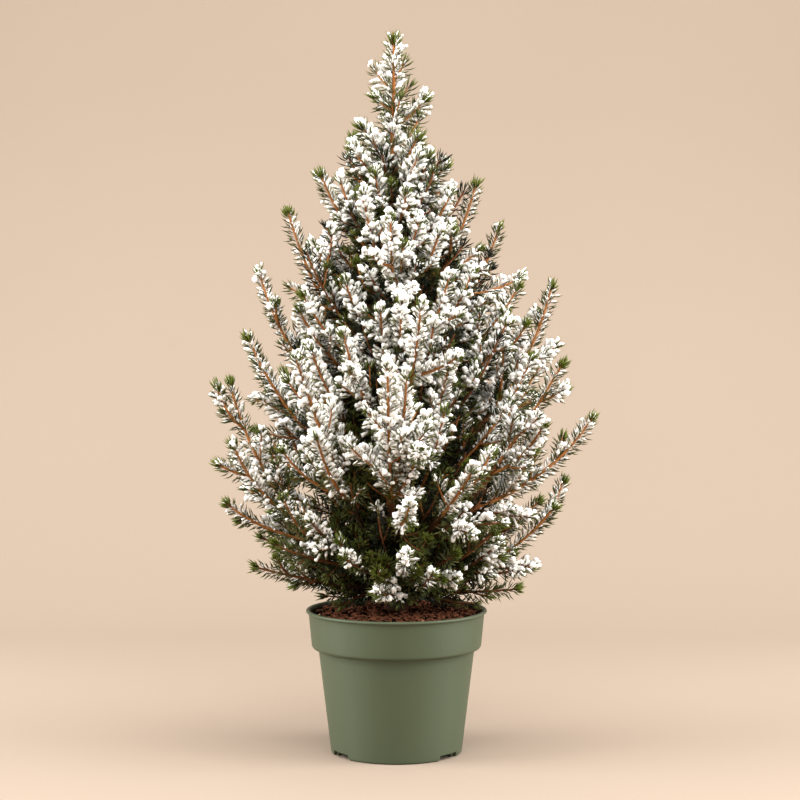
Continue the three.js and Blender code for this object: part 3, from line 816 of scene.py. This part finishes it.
def add_shoot(path, girth, rank, snow, bare=0.0, clear=0.0):
    """Keeps a shoot. girth is its radius at the foot and the tip, rank its order of branching, bare the share
    without needles at its foot, and clear the length at its tip without side shoots."""
    path = even_path(path, (3 if rank <= FORK else 4.5) * MM)
    shoots.append({
        "path": path,
        "length": path_length(path),
        "girth": girth,
        "rank": rank,
        "snow": snow,
        "bare": bare,
        "clear": clear,
    })


def cut_back(path, gap):
    """The path without its last stretch of a length."""
    left = np.cumsum(np.linalg.norm(np.diff(path, axis=0), axis=1)[::-1])[::-1]
    return path[: max(3, int((left > gap).sum()) + 1)]


def turned_up(start, tip):
    """A shoot from start to tip that leaves flat and turns up, with its bend part of the way out and up."""
    middle = start + (tip - start) * (BEND_OUT, BEND_OUT, BEND_UP)
    return quadratic(start, middle, tip)


def shoot_girth(length):
    """A shoot's radius at its foot, more on a long one, and at its tip."""
    return (1.3 * MM + 0.006 * length, 0.95 * MM)


def fork_start(path, tip):
    """The point between a path's first tenth and its last third from which the tip lies nearest to half a
    right angle off."""
    ahead = unit(np.gradient(path, axis=0))
    slant = np.einsum("ij,ij->i", unit(tip - path), ahead)
    allowed = slice(int(len(path) * 0.1), int(len(path) * 0.66))
    return path[allowed][np.abs(slant[allowed] - math.cos(math.radians(45))).argmin()]


LEADER_FOOT = 560 * MM
leader_path = np.array([on_trunk(z) for z in np.linspace(LEADER_FOOT, trunk_top[2] - END_GAP, 60)])
for name in mass_names:
    points, edges = masses[name]
    is_leader = name == "leader"
    carriers = [bough for bough in bough_names if name.startswith(bough + "_")]
    carrier = max(carriers, key=len) if carriers else None
    if is_leader:
        main, main_tip = leader_path, trunk_top
        tips = shoot_tips(points, edges, on_trunk(LEADER_FOOT))
    else:
        parent = bare_bough(carrier) if carrier else trunk_middle
        apart = np.linalg.norm(points[:, None] - parent[None], axis=-1)
        start = parent[apart.min(0).argmin()]
        tips = shoot_tips(points, edges, start)
        if carrier and name == carrier + "_end":
            main, main_tip = boughs[carrier][len(parent) - 8:], boughs[carrier][-1]
        else:
            main_tip = tips[np.linalg.norm(tips - start, axis=1).argmax()]
            main = turned_up(start, main_tip)
    length = path_length(main)
    snow = dusting(main_tip, True)
    clear = 34 * MM if is_leader else min(78 * MM, 0.58 * length)
    add_shoot(cut_back(main, 0 if is_leader else END_GAP), shoot_girth(length), MAIN, snow, clear=clear)
    for tip in tips[np.linalg.norm(tips - main_tip, axis=1) > 3 * MM]:
        start = fork_start(main, tip)
        away = float(np.linalg.norm(tip - start))
        fork = cut_back(turned_up(start, tip), END_GAP)
        add_shoot(fork, shoot_girth(away), FORK, dusting(tip, True), clear=min(60 * MM, 0.6 * away))
print("shoots along the solids", len(shoots))

# %% Shoots inside the crown
GOLDEN_DEGREES = 137.5
LOOK_ABOVE = 40 * MM


def inner_shoots(count, heights, reach_shares, rises, dusted, rank):
    """Shoots from the trunk at golden headings, out to a share of the crown's reach, rising by part of it."""
    lowest, highest = heights
    for number in range(count):
        height = lowest + (highest - lowest) * (number + rng.random()) / count
        heading = (number * GOLDEN_DEGREES + rng.uniform(-20, 20)) % 360
        share, rise = rng.uniform(*reach_shares), rng.uniform(*rises)
        reach = share * crown_reach(heading, height + LOOK_ABOVE)
        reach = min(reach, share * crown_reach(heading, height + rise * reach))
        way = np.array([math.cos(math.radians(heading)), math.sin(math.radians(heading)), 0])
        tip = on_trunk(height) * (1, 1, 0) + way * reach + UP * (height + rise * reach)
        snow = dusting(tip, False) * dusted
        path = turned_up(on_trunk(height), tip)
        add_shoot(path, shoot_girth(reach), rank, snow, bare=0.12, clear=min(30 * MM, 0.4 * reach))


inner_shoots(84, (176 * MM, 600 * MM), (0.38, 0.68), (0.5, 1.2), dusted=0, rank=INNER)
inner_shoots(74, (190 * MM, 590 * MM), (0.5, 0.78), (0.8, 1.7), dusted=1, rank=FORK)
inner_shoots(18, (166 * MM, 205 * MM), (0.66, 0.88), (0.0, 0.3), dusted=1, rank=FORK)
inner_shoots(26, (162 * MM, 200 * MM), (0.5, 0.85), (0.15, 0.5), dusted=1, rank=FORK)
first_shoots = len(shoots)
print("with inner shoots", first_shoots)

# %% Side shoots
GOLDEN_TURN = math.radians(GOLDEN_DEGREES)
SLANT_DEGREES = (40, 56)
OVER_POT = 6 * MM
PAST_BARE = 90 * MM


def frames_along(path):
    """At each point of a path: the way ahead, the upper side square to it, and the third way. Where the path
    runs straight up, the side towards the trunk counts as upper."""
    ahead = unit(np.gradient(path, axis=0))
    outwards = unit(path * (1, 1, 0) + (1e-6, 0, 0))
    upper = UP - 0.3 * outwards
    upper = unit(upper - np.einsum("ij,ij->i", np.broadcast_to(upper, ahead.shape), ahead)[:, None] * ahead)
    return ahead, upper, np.cross(ahead, upper)


def side_shoots(parent, spacing, share, longest, rank):
    """Shoots set in a spiral along a parent, each a share of the way that is left to the parent's tip."""
    path, length = parent["path"], parent["length"]
    ahead, upper, beside = frames_along(path)
    station, turn = 10 * MM + spacing * rng.random(), rng.random() * 2 * np.pi
    while station < length - parent["clear"]:
        left = length - station
        index = min(int(station / length * (len(path) - 1)), len(path) - 1)
        turn += GOLDEN_TURN + rng.normal(0, 0.35)
        radial = math.cos(turn) * upper[index] + math.sin(turn) * beside[index] + 0.3 * upper[index]
        slant = math.radians(rng.uniform(*SLANT_DEGREES))
        way = unit(math.cos(slant) * ahead[index] + math.sin(slant) * unit(radial))
        grown = min(longest, share * left) * rng.uniform(0.65, 1.15) + 6 * MM
        turned = unit(way + 0.35 * ahead[index] + 0.35 * UP)
        start = path[index]
        side = quadratic(start, start + way * grown * 0.5, start + (0.55 * way + 0.45 * turned) * grown, 24)
        tip = side[-1]
        reach = crown_reach(math.degrees(math.atan2(tip[1], tip[0])), tip[2])
        room = reach * (0.84 if parent["rank"] == INNER else 1.0) + 4 * MM
        if np.hypot(*tip[:2]) < room and tip[2] > pot_height + OVER_POT:
            snow = dusting(tip, False) * (parent["rank"] != INNER)
            add_shoot(side, (0.95 * MM, 0.7 * MM), rank, snow, clear=24 * MM)
        station += spacing * rng.uniform(0.75, 1.3)


for name in bough_names:
    limb = even_path(bare_bough(name), 3 * MM)
    limb = {"path": limb, "length": path_length(limb) + PAST_BARE, "clear": PAST_BARE, "rank": FORK}
    side_shoots(limb, spacing=17 * MM, share=0.4, longest=64 * MM, rank=SIDE)
for parent in shoots[:first_shoots]:
    spacing = 16 * MM if parent["rank"] <= FORK else 21 * MM
    side_shoots(parent, spacing, share=0.42, longest=58 * MM, rank=SIDE)
for parent in [shoot for shoot in shoots if shoot["rank"] == SIDE and shoot["length"] > 36 * MM]:
    side_shoots(parent, spacing=15 * MM, share=0.5, longest=26 * MM, rank=TWIG)
print("shoots", len(shoots), "total length in metres", round(sum(s["length"] for s in shoots), 1))

# %% [markdown]
# ## Bark
#
# The limbs are tubes with their own relief. Old spruce bark is rough with the pegs that fallen needles
# leave and with shallow cracks along it, while young bark is smooth and orange brown. A bump in the
# material would leave the limbs' outline smooth, so the relief is in the mesh, as waves round and along the
# tube and hundreds of small pegs. The colour goes from dark brown near the foot to orange brown further out
# and up.

# %% Tubes with relief
def tube_points(path, radii, sides):
    """Rings square to a path: middle + radius (cosine side + sine other), with one radius for each ring or
    for each of its corners. The side is carried from ring to ring, so the tube doesn't twist."""
    ahead = unit(np.gradient(path, axis=0))
    side = np.empty_like(ahead)
    seed = np.cross(ahead[0], (0.31, 0.95, 0.05))
    for ring, way in enumerate(ahead):
        seed = unit(seed - np.dot(seed, way) * way)
        side[ring] = seed
    other = np.cross(ahead, side)
    turn = np.arange(sides) * 2 * np.pi / sides
    radii = np.broadcast_to(np.reshape(radii, (len(path), -1)), (len(path), sides))[..., None]
    round_it = np.cos(turn)[None, :, None] * side[:, None] + np.sin(turn)[None, :, None] * other[:, None]
    return (path[:, None] + radii * round_it).reshape(-1, 3)


def capped_tube(path, radii, sides):
    """A tube with a pole at each end, a little past the last ring, and its faces."""
    points = tube_points(path, radii, sides)
    first, last = path[0] - 0.2 * (path[1] - path[0]), path[-1] + 0.4 * (path[-1] - path[-2])
    ring, total = np.arange(sides), len(points)
    quads = grid_faces(len(path), sides)
    caps = np.concatenate([cap_faces(ring, total, False), cap_faces(ring + total - sides, total + 1, True)])
    return np.concatenate([points, [first, last]]), quads, caps


def joined(parts):
    """Several (points, quads, triangles) as one set of points and faces."""
    counts = np.cumsum([0] + [len(points) for points, _, _ in parts])
    quads = np.concatenate([quads + start for (_, quads, _), start in zip(parts, counts)])
    triangles = np.concatenate([caps + start for (_, _, caps), start in zip(parts, counts)])
    return np.concatenate([points for points, _, _ in parts]), [quads, triangles]


RELIEF = {"waves": 26, "wave_lengths": (6 * MM, 60 * MM), "depth": 0.018}
PEG = {"step": 1.6 * MM, "across": 0.9 * MM, "along": 1.1 * MM, "height": 5.0}


def bark_relief(length, rings, sides, girth):
    """Radius shares: waves, a whole number round and of some length along, and pegs at seeded places."""
    turn = (np.arange(sides) * 2 * np.pi / sides)[None]
    along = np.linspace(0, length, rings)[:, None]
    relief = np.zeros((rings, sides))
    for _ in range(RELIEF["waves"]):
        times, wave, start = rng.integers(1, 8), rng.uniform(*RELIEF["wave_lengths"]), rng.uniform(0, 6.3, 2)
        relief += np.cos(times * turn + start[0]) * np.cos(2 * np.pi * along / wave + start[1])
    pegs = int(length / PEG["step"])
    peg_turn, peg_along = rng.uniform(0, 2 * np.pi, pegs), rng.uniform(0, length, pegs)
    for heading, station in zip(peg_turn, peg_along):
        aside = np.abs((turn - heading + np.pi) % (2 * np.pi) - np.pi) * girth / PEG["across"]
        relief += PEG["height"] * np.exp(-(aside**2) - ((along - station) / PEG["along"]) ** 2)
    return 1 + RELIEF["depth"] * relief


def bark_limb(path, girth, sides, step):
    """A limb along a path whose radius goes through the given values, with bark's relief in its sides."""
    path = even_path(path, step)
    length = path_length(path)
    radius = np.interp(np.linspace(0, 1, len(path)), np.linspace(0, 1, len(girth)), girth)
    shape = bark_relief(length, len(path), sides, float(radius.mean()))
    return capped_tube(path, radius[:, None] * shape, sides)


# %% Bark finish
bark = Finish("spruce_bark", Roughness=0.85, Specular_IOR_Level=0.1)
place = bark.node("ShaderNodeTexCoord", output="Object")
height = bark.node("ShaderNodeSeparateXYZ", {}, {"Vector": place}, output=2)
flat_place = bark.node("ShaderNodeVectorMath", {"operation": "MULTIPLY"}, {0: place, 1: (1, 1, 0)})
outwards = bark.node("ShaderNodeVectorMath", {"operation": "LENGTH"}, {0: flat_place}, output="Value")
youth = bark.node("ShaderNodeClamp", {}, {"Value": (height - 0.33) * 2.4 + outwards * 3.0})
flakes = bark.noise(520, 4, (1, 1, 0.5))
old_bark = bark.blend(flakes, linear(26, 15, 9), linear(74, 46, 28))
young_bark = bark.blend(flakes, linear(128, 76, 36), linear(178, 112, 58))
bark.feed("Base Color", bark.blend(youth, old_bark, young_bark))
bark.feed("Roughness", flakes * 0.25 + 0.65)
bark.bump(flakes, strength=0.5, distance=0.0006)
print("nodes in the bark's finish", len(bark.tree.nodes))

# %% Trunk and boughs
LIMB_STEP = 2 * MM
THINNEST = 1.25 * MM
BOUGH_GIRTH = np.array([4.6, 4.0, 3.4, 2.8, 2.3]) * MM
trunk_path = np.concatenate([trunk_middle, [trunk_top - (0, 0, END_GAP)]])
trunk_radius = np.concatenate([trunk_girth, [0.9 * MM]])
trunk_even = even_path(trunk_path, LIMB_STEP)
trunk_values = np.maximum(np.interp(trunk_even[:, 2], trunk_path[:, 2], trunk_radius), THINNEST)
trunk_limb = bark_limb(trunk_path, trunk_values, 40, LIMB_STEP)
trunk_bark = mesh_piece("trunk_bark", *joined([trunk_limb]), bark.material)
bough_parts = []
for name in bough_names:
    path = bare_bough(name, more=0.04)
    path = np.concatenate([[path[0] - unit(path[3] - path[0]) * 4 * MM], path])
    bough_parts.append(bark_limb(path, BOUGH_GIRTH, 18, LIMB_STEP))
bough_bark = mesh_piece("bough_bark", *joined(bough_parts), bark.material)

# %% [markdown]
# ## Twigs
#
# Every shoot has a stem, and the stems are what gives the plant its warm colour between the needles: this
# year's are a bright orange brown, knobbly with the pegs that the needles sit on. Curves with a bevel would
# be smooth, so they are thin tubes whose corners lie at uneven distances. They are joined in three pieces:
# the leading stems, which have five corners round, their side stems, and the older ones low down and
# inside.

# %% Stems of the shoots
def stem(shoot, sides):
    """A tube along a shoot whose radius tapers and goes up and down by chance like a row of pegs."""
    path = shoot["path"]
    taper = np.linspace(*shoot["girth"], len(path))
    return capped_tube(path, taper[:, None] * rng.uniform(0.82, 1.22, (len(path), sides)), sides)


YOUNG_ABOVE = 255 * MM


def is_young(shoot):
    """Whether a shoot's bark is still bright: it isn't one from deep inside, and its tip isn't low down."""
    return shoot["rank"] != INNER and shoot["path"][-1, 2] > YOUNG_ABOVE


def twig_finish(name, dark, light):
    """Young bark: one fine noise gives its shades and its bump."""
    twig = Finish(name, Roughness=0.7, Specular_IOR_Level=0.14)
    grain = twig.noise(700, 2)
    twig.feed("Base Color", twig.blend(grain, dark, light))
    twig.bump(grain, strength=0.4, distance=0.0004)
    return twig.material


young = [shoot for shoot in shoots if is_young(shoot)]
older = [shoot for shoot in shoots if not is_young(shoot)]
young_finish = twig_finish("young_bark", linear(112, 69, 31), linear(170, 111, 58))
older_finish = twig_finish("older_bark", linear(74, 43, 24), linear(130, 80, 44))
leading_stems = [stem(shoot, 5) for shoot in young if shoot["rank"] <= FORK]
twigs_leading = mesh_piece("twigs_leading", *joined(leading_stems), young_finish)
twigs_side = mesh_piece("twigs_side", *joined([stem(s, 4) for s in young if s["rank"] > INNER]), young_finish)
twigs_older = mesh_piece("twigs_older", *joined([stem(shoot, 4) for shoot in older]), older_finish)

# %% [markdown]
# ## Needles
#
# A needle is a stiff spindle over a centimetre long. They sit on the stem in a spiral, lean forwards by
# about half a right angle, and crowd into a tuft at the tip, where they are fresh green. A hair system
# could place them, but each one also has to carry its own snow. So all are worked out at once as arrays: a
# foot on the stem, a way to point and a length each, and then five corners and six faces apiece. They are
# sparser on the side of a stem that faces the front, so that the stems show between them. The needles under
# the most snow are pale, partly as frost and partly as painted light that lifts the shade between the
# fingers of snow. Needles inside the crown are near black, and outer ones on both flanks and near the top
# lean to darker greens: both are painted shade.

# %% Where the needles sit
NEEDLE_LENGTH = 14.6 * MM
NEEDLES_PER_METRE = 1000
DENSE_ABOVE = 600 * MM
NEEDLE_SLANT = (51, 11)
NEWEST = 7 * MM
TUFT = {"leading": 24, "side": 7, "depth": 6, "slants": (3, 36), "lengths": (10.0, 14.2)}
TOP = (560 * MM, 640 * MM)
FRONT_LOSS, FRONT_SIDE = 0.62, (0.6, 0.95)


def needles_of(shoot, number):
    """One shoot's needles, its tuft's among them: where each one sits, which way it points and which side of
    the stem it is on, how long it is, whether it is fresh, and what its shoot hands on to it."""
    path = shoot["path"]
    ahead, upper, beside = frames_along(path)
    leading = shoot["rank"] <= FORK
    thick = 1.0 + 0.6 * leading + 0.7 * (leading and path[-1, 2] > DENSE_ABOVE)
    count = int(shoot["length"] * (1 - shoot["bare"]) * NEEDLES_PER_METRE * thick)
    share = shoot["bare"] + (1 - shoot["bare"]) * (np.arange(count) + rng.random(count)) / max(count, 1)
    turn = np.arange(count) * GOLDEN_TURN + rng.normal(0, 0.45, count)
    slant = np.radians(rng.normal(*NEEDLE_SLANT, count))
    size = NEEDLE_LENGTH * (0.9 if leading else 1.0) * rng.uniform(0.76, 1.12, count)
    left = (1 - share) * shoot["length"]
    newest = left < NEWEST
    slant = np.where(newest, slant * (0.5 + 0.4 * left / NEWEST), slant)
    size = np.where(newest, size * (0.75 + 0.2 * left / NEWEST), size)
    tuft = TUFT["leading" if leading else "side"]
    back = rng.random(tuft) * TUFT["depth"] * MM / shoot["length"]
    share = np.concatenate([share, np.maximum(1 - back, 0)])
    turn = np.concatenate([turn, rng.random(tuft) * 2 * np.pi])
    slant = np.concatenate([slant, np.radians(rng.uniform(*TUFT["slants"], tuft))])
    size = np.concatenate([size, rng.uniform(*TUFT["lengths"], tuft) * MM])
    fresh = np.concatenate([newest, np.full(tuft, True)])
    station = share * (len(path) - 1)
    whole = np.minimum(station.astype(int), len(path) - 2)
    part = (station - whole)[:, None]
    foot = path[whole] * (1 - part) + path[whole + 1] * part
    radial = np.cos(turn)[:, None] * upper[whole] + np.sin(turn)[:, None] * beside[whole]
    way = np.cos(slant)[:, None] * ahead[whole] + np.sin(slant)[:, None] * radial
    size = size * (1 + 0.3 * smooth_step(*TOP, foot[:, 2]))
    kept = fresh | (rng.random(len(turn)) > FRONT_LOSS * smooth_step(*FRONT_SIDE, -radial[:, 1]))
    girth = np.interp(share, [0, 1], shoot["girth"])[:, None]
    row = {"foot": foot + 0.6 * girth * radial, "way": unit(way), "radial": radial, "size": size}
    row |= {"fresh": fresh, "along": share, "snow": np.full(len(turn), shoot["snow"])}
    row |= {"shoot": np.full(len(turn), number), "rank": np.full(len(turn), shoot["rank"])}
    return {key: values[kept] for key, values in row.items()}


rows = [needles_of(shoot, number) for number, shoot in enumerate(shoots)]
needles = {key: np.concatenate([row[key] for row in rows]) for key in rows[0]}
LOWEST_NEEDLE, ROUND_LIP = pot_height + 1.5 * MM, 14 * MM
needle_tips = needles["foot"] + needles["way"] * needles["size"][:, None]
over_pot = np.hypot(*needles["foot"][:, :2].T) < lip_radius + ROUND_LIP
clear_of_pot = ~over_pot | (np.minimum(needle_tips[:, 2], needles["foot"][:, 2]) > LOWEST_NEEDLE)
needles = {key: values[clear_of_pot] for key, values in needles.items()}
print("needles", len(needles["size"]))

# %% How much snow each needle carries
HEADING_STEP, HEIGHT_STEP, MAP_TOP = 10, 20 * MM, 0.8
NEEDLE_DUST = {"upwards": 0.55, "in_patches": 0.6, "chance": 0.08}
PATCH_LENGTHS = (20, 42)
reach_map = np.array([
    [crown_reach(heading, height) for height in np.arange(0, MAP_TOP, HEIGHT_STEP)]
    for heading in range(0, 360, HEADING_STEP)
])


def outness(points):
    """How far out points lie, as a share of the crown's reach at their heading and height."""
    turn = np.degrees(np.arctan2(points[:, 1], points[:, 0])) % 360
    column = (turn / HEADING_STEP).astype(int) % len(reach_map)
    row = np.clip(points[:, 2] / HEIGHT_STEP, 0, reach_map.shape[1] - 1).astype(int)
    return np.hypot(points[:, 0], points[:, 1]) / reach_map[column, row]


def patches(points, waves=9):
    """A soft random pattern in space with a mean of 0 and a spread of 1: plane waves added up."""
    total = np.zeros(len(points))
    for _ in range(waves):
        way, length = unit(rng.normal(size=3)), rng.uniform(*PATCH_LENGTHS) * MM
        phase = rng.uniform(0, 2 * np.pi)
        total += np.sin(points @ way * 2 * np.pi / length + phase)
    return total / math.sqrt(waves / 2)


def needle_load():
    """From 0 to 1: the shoot's dusting, less deep inside the crown and near the shoot's foot, more on needles
    that stick out upwards than on those below, and in patches."""
    tips = needles["foot"] + needles["way"] * needles["size"][:, None]
    exposed = exposure(outness(tips), tips[:, 2])
    end = 0.45 + 0.55 * smooth_step(0.1, 0.55, needles["along"])
    upwards = NEEDLE_DUST["upwards"] * needles["radial"][:, 2]
    pattern = 1.02 + upwards + NEEDLE_DUST["in_patches"] * patches(tips)
    load = needles["snow"] * exposed * end * pattern + rng.normal(0, NEEDLE_DUST["chance"], len(tips))
    return np.clip(load, 0, 1)


needles["load"] = needle_load()
print("needles with half a load or more", int((needles["load"] > 0.5).sum()))


# %% Pieces of needles
DEEP_INSIDE, UNDER_OUTSIDE, LIGHT_LOAD, FULL_LOAD = 0.55, 0.66, 0.35, 0.6


def needle_finish(name, dark, light):
    """Waxy green: one noise, of clouds about a centimetre wide, gives its shades and its roughness."""
    green = Finish(name, Roughness=0.6, Specular_IOR_Level=0.14)
    tone = green.noise(90, 2)
    green.feed("Base Color", green.blend(tone, linear(*dark), linear(*light)))
    green.feed("Roughness", tone * 0.2 + 0.5)
    return green.material


def needle_piece(name, chosen, width, finish):
    """The chosen needles as three-sided spindles of about a width, widest beyond the middle."""
    picked = {key: values[chosen] for key, values in needles.items()}
    radii = width / 2 * rng.uniform(0.88, 1.14, len(picked["size"]))
    lines = [picked[key] for key in ("foot", "way", "radial", "size")]
    return mesh_piece(name, *spindles(*lines, radii, [0.6], [1.0], corners=3, bend=0.05), finish)


# Needles on both flanks of the crown and near its top are pulled towards the darker greens below: painted
# shade.
flank = smooth_step(60 * MM, 140 * MM, np.abs(needles["foot"][:, 0]))
top = smooth_step(*TOP, needles["foot"][:, 2])
tone = rng.random(len(shoots))[needles["shoot"]] - 0.5 * np.maximum(flank, top)
place_out, leading = outness(needles["foot"]), needles["rank"] <= FORK
fresh = needles["fresh"] & (needles["rank"] != INNER)
# Needles of the shoots deep inside the crown, and buried ones that carry little snow, get near-black greens:
# painted shade.
inner = (needles["rank"] == INNER) & ~fresh & (place_out < UNDER_OUTSIDE)
buried = (place_out < DEEP_INSIDE) & (needles["foot"][:, 2] < TOP[0]) & (needles["load"] < LIGHT_LOAD)
painted_shade = buried & ~inner & ~fresh
# Needles under a full load are pale: partly frost, partly painted light that lifts the shade in the gaps
# between the fingers of snow.
frosted_and_painted_light = ~fresh & ~inner & ~painted_shade & (needles["load"] > FULL_LOAD)
outer = ~fresh & ~inner & ~painted_shade & ~frosted_and_painted_light
middling = (tone >= 0.36) & (tone < 0.68)
NEEDLE_LOOKS = {
    "needles_fresh": (fresh & leading, 1.5, "fresh_green", (52, 62, 12), (92, 100, 28)),
    "needles_tufts": (fresh & ~leading, 1.5, "tuft_green", (48, 55, 16), (84, 90, 32)),
    "needles_inner_painted_shade": (inner, 1.6, "inner_painted_shade_green", (9, 12, 5), (28, 32, 15)),
    "needles_painted_shade_green": (painted_shade & (tone < 0.44), 1.6, "painted_shade_green", (17, 23, 10), (43, 51, 24)),
    "needles_painted_shade_brown": (painted_shade & (tone >= 0.44), 1.6, "painted_shade_brown", (24, 24, 9), (50, 48, 21)),
    "needles_frosted_and_painted_light": (frosted_and_painted_light, 1.6, "frosted_and_painted_light_green", (100, 99, 70), (150, 147, 120)),
    "needles_deep": (outer & (tone < 0.36), 1.55, "deep_green", (39, 45, 18), (74, 78, 36)),
    "needles_grey": (outer & middling, 1.55, "grey_green", (61, 67, 34), (103, 106, 64)),
    "needles_olive": (outer & (tone >= 0.68), 1.55, "olive_green", (56, 56, 19), (96, 91, 40)),
}
needle_pieces = [
    needle_piece(name, chosen, width * MM, needle_finish(finish_name, dark, light))
    for name, (chosen, width, finish_name, dark, light) in NEEDLE_LOOKS.items()
]

# %% [markdown]
# ## Snow
#
# The dusting clings to whatever faces up. White paint on the upper sides would leave the needles thin, and
# the real snow rounds them out, so it is made as solids of its own. Each needle carries it along its own
# upper side, a thin line on the lightly dusted shoots and a fat white finger on the heavy ones: a
# spindle with three sides laid on the needle, widest towards its tip. On the fullest fingers uneven
# icosahedra draw it together in clumps. The stems carry crumbs of it, uneven octahedra that heap up near the
# tips.

# %% Snow finish
snow_white = Finish("dusted_snow", Roughness=0.9, Specular_IOR_Level=0.2)
crystals = snow_white.noise(900, 3)
snow_white.feed("Base Color", snow_white.blend(crystals, linear(229, 226, 220), linear(242, 240, 236)))
snow_white.bump(crystals, strength=0.35, distance=0.0005)
print("nodes in the snow's finish", len(snow_white.tree.nodes))

# %% Fingers of snow on the needles
FINGER_CHANCE = (0.22, 0.55)
FINGER_RADIUS = {"least": 0.3, "by_load": 1.46}
FINGERS_PER_PIECE = 16000


def snow_fingers():
    """Spindles on needles' upper sides. Both the chance of a finger and its girth go up with the load."""
    upper = unit(UP - needles["way"][:, 2:] * needles["way"])
    chance = smooth_step(*FINGER_CHANCE, needles["load"]) * np.where(needles["fresh"], 0.6, 0.98)
    chosen = rng.random(len(chance)) < chance
    kept, upper = {key: values[chosen] for key, values in needles.items()}, upper[chosen]
    load = kept["load"]
    radii = FINGER_RADIUS["least"] + FINGER_RADIUS["by_load"] * load**1.5
    radii = radii * rng.uniform(0.75, 1.25, len(load)) * MM
    start = kept["size"] * rng.uniform(0.06, 0.36, len(load))
    length = (kept["size"] - start) * rng.uniform(0.7, 1.04, len(load))
    length = length * (0.6 + 0.4 * smooth_step(0.3, 0.7, load))
    feet = kept["foot"] + kept["way"] * start[:, None] + upper * (0.4 * MM + 0.6 * radii)[:, None]
    print("snow fingers", len(load))
    return feet, kept["way"], upper, length, radii, load


def dealt(arrays, parts):
    """The same arrays in a number of equal runs."""
    cuts = np.linspace(0, len(arrays[0]), parts + 1).astype(int)
    return [[values[a:b] for values in arrays] for a, b in zip(cuts[:-1], cuts[1:])]


fingers = snow_fingers()
order = rng.permutation(len(fingers[0]))
fingers = [values[order] for values in fingers]
snow_pieces = []
for number, run in enumerate(dealt(fingers, math.ceil(len(order) / FINGERS_PER_PIECE)), 1):
    shape = spindles(*run[:5], [0.18, 0.66], [0.85, 1.1], corners=3, bend=0.03)
    snow_pieces.append(mesh_piece(f"snow_fingers_{number}", *shape, snow_white.material))

# %% Crumbs of snow on the stems
CRUMBS_APART = 3.6 * MM
LEAST_SNOW = 0.12
HEAP = 9
CLUMP_CHANCE, CLUMP_LOAD = 0.72, (0.35, 0.75)
CLUMPS_PER_PIECE = 9500


def crumb_places():
    """Along each dusted shoot, crumbs on the upper side and a heap just behind the tip."""
    places, sizes = [], []
    for shoot in shoots:
        heavy, path = shoot["snow"], shoot["path"]
        if heavy < LEAST_SNOW:
            continue
        ahead, upper, beside = frames_along(path)
        count = rng.poisson(shoot["length"] / CRUMBS_APART * heavy**1.5)
        station = rng.random(count) ** 0.8
        heap = rng.poisson(HEAP * heavy**1.5)
        station = np.concatenate([station, rng.uniform(0.9, 1.0, heap)])
        size = np.concatenate([rng.uniform(0.9, 2.1, count), rng.uniform(1.3, 2.9, heap)])
        size = size * (0.6 + 0.5 * heavy) * MM
        index = np.minimum((station * (len(path) - 1)).astype(int), len(path) - 1)
        spread = np.concatenate([rng.normal(0, 1.3, count), rng.normal(0, 2.6, heap)])[:, None] * MM
        lift = (0.8 * shoot["girth"][1] + 0.5 * size + np.abs(rng.normal(0, 1.2, len(size))) * MM)[:, None]
        ahead_by = rng.normal(0, 1.5, (len(size), 1))
        places.append(
            path[index] + upper[index] * lift + beside[index] * spread + ahead[index] * ahead_by * MM
        )
        sizes.append(size)
    return np.concatenate(places), np.concatenate(sizes)


def clumps_on_fingers(feet, ways, uppers, lengths, radii, load):
    """Crumbs on the outer part of the fullest fingers, where the snow has drawn together in clumps."""
    chosen = rng.random(len(load)) < CLUMP_CHANCE * smooth_step(*CLUMP_LOAD, load)
    share = rng.uniform(0.35, 0.98, chosen.sum())
    sizes = radii[chosen] * rng.uniform(1.0, 2.0, chosen.sum())
    places = feet[chosen] + ways[chosen] * (lengths[chosen] * share)[:, None] + uppers[chosen] * 0.4 * MM
    return places, sizes


crumbs = crumb_places()
clumps = clumps_on_fingers(*fingers)
print("snow crumbs", len(crumbs[0]), "clumps", len(clumps[0]))
shape = lumps(*crumbs, unevenness=0.25, shell=OCTA)
snow_pieces.append(mesh_piece("snow_crumbs", *shape, snow_white.material))
for number, run in enumerate(dealt(clumps, math.ceil(len(clumps[0]) / CLUMPS_PER_PIECE)), 1):
    shape = lumps(*run, unevenness=0.4)
    snow_pieces.append(mesh_piece(f"snow_clumps_{number}", *shape, snow_white.material))

# %% [markdown]
# ## Hand the pieces to the frame
#
# For one still picture the pieces could be left as loose objects. A part also has to say what they belong
# to, so every piece rides on the part's one body. The imported nodes that the pieces stand for are hidden.

# %% Ride on the body, hide the imported nodes
SLOTS = {
    "pot": [pot, ribs],
    "compost": [compost, red_clods, dark_clods_and_painted_shade, chips, slivers],
    "bark": [trunk_bark, bough_bark, twigs_leading, twigs_side, twigs_older],
    "foliage": needle_pieces,
    "snow": snow_pieces,
}
for slot_name, pieces in SLOTS.items():
    for piece in pieces:
        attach(piece, "root")
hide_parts("pot")
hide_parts("compost")
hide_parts("trunk")
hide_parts(*["bough_" + name for name in bough_names])
for piece in needle_pieces:
    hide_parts(*["foliage_" + name for name in mass_names])
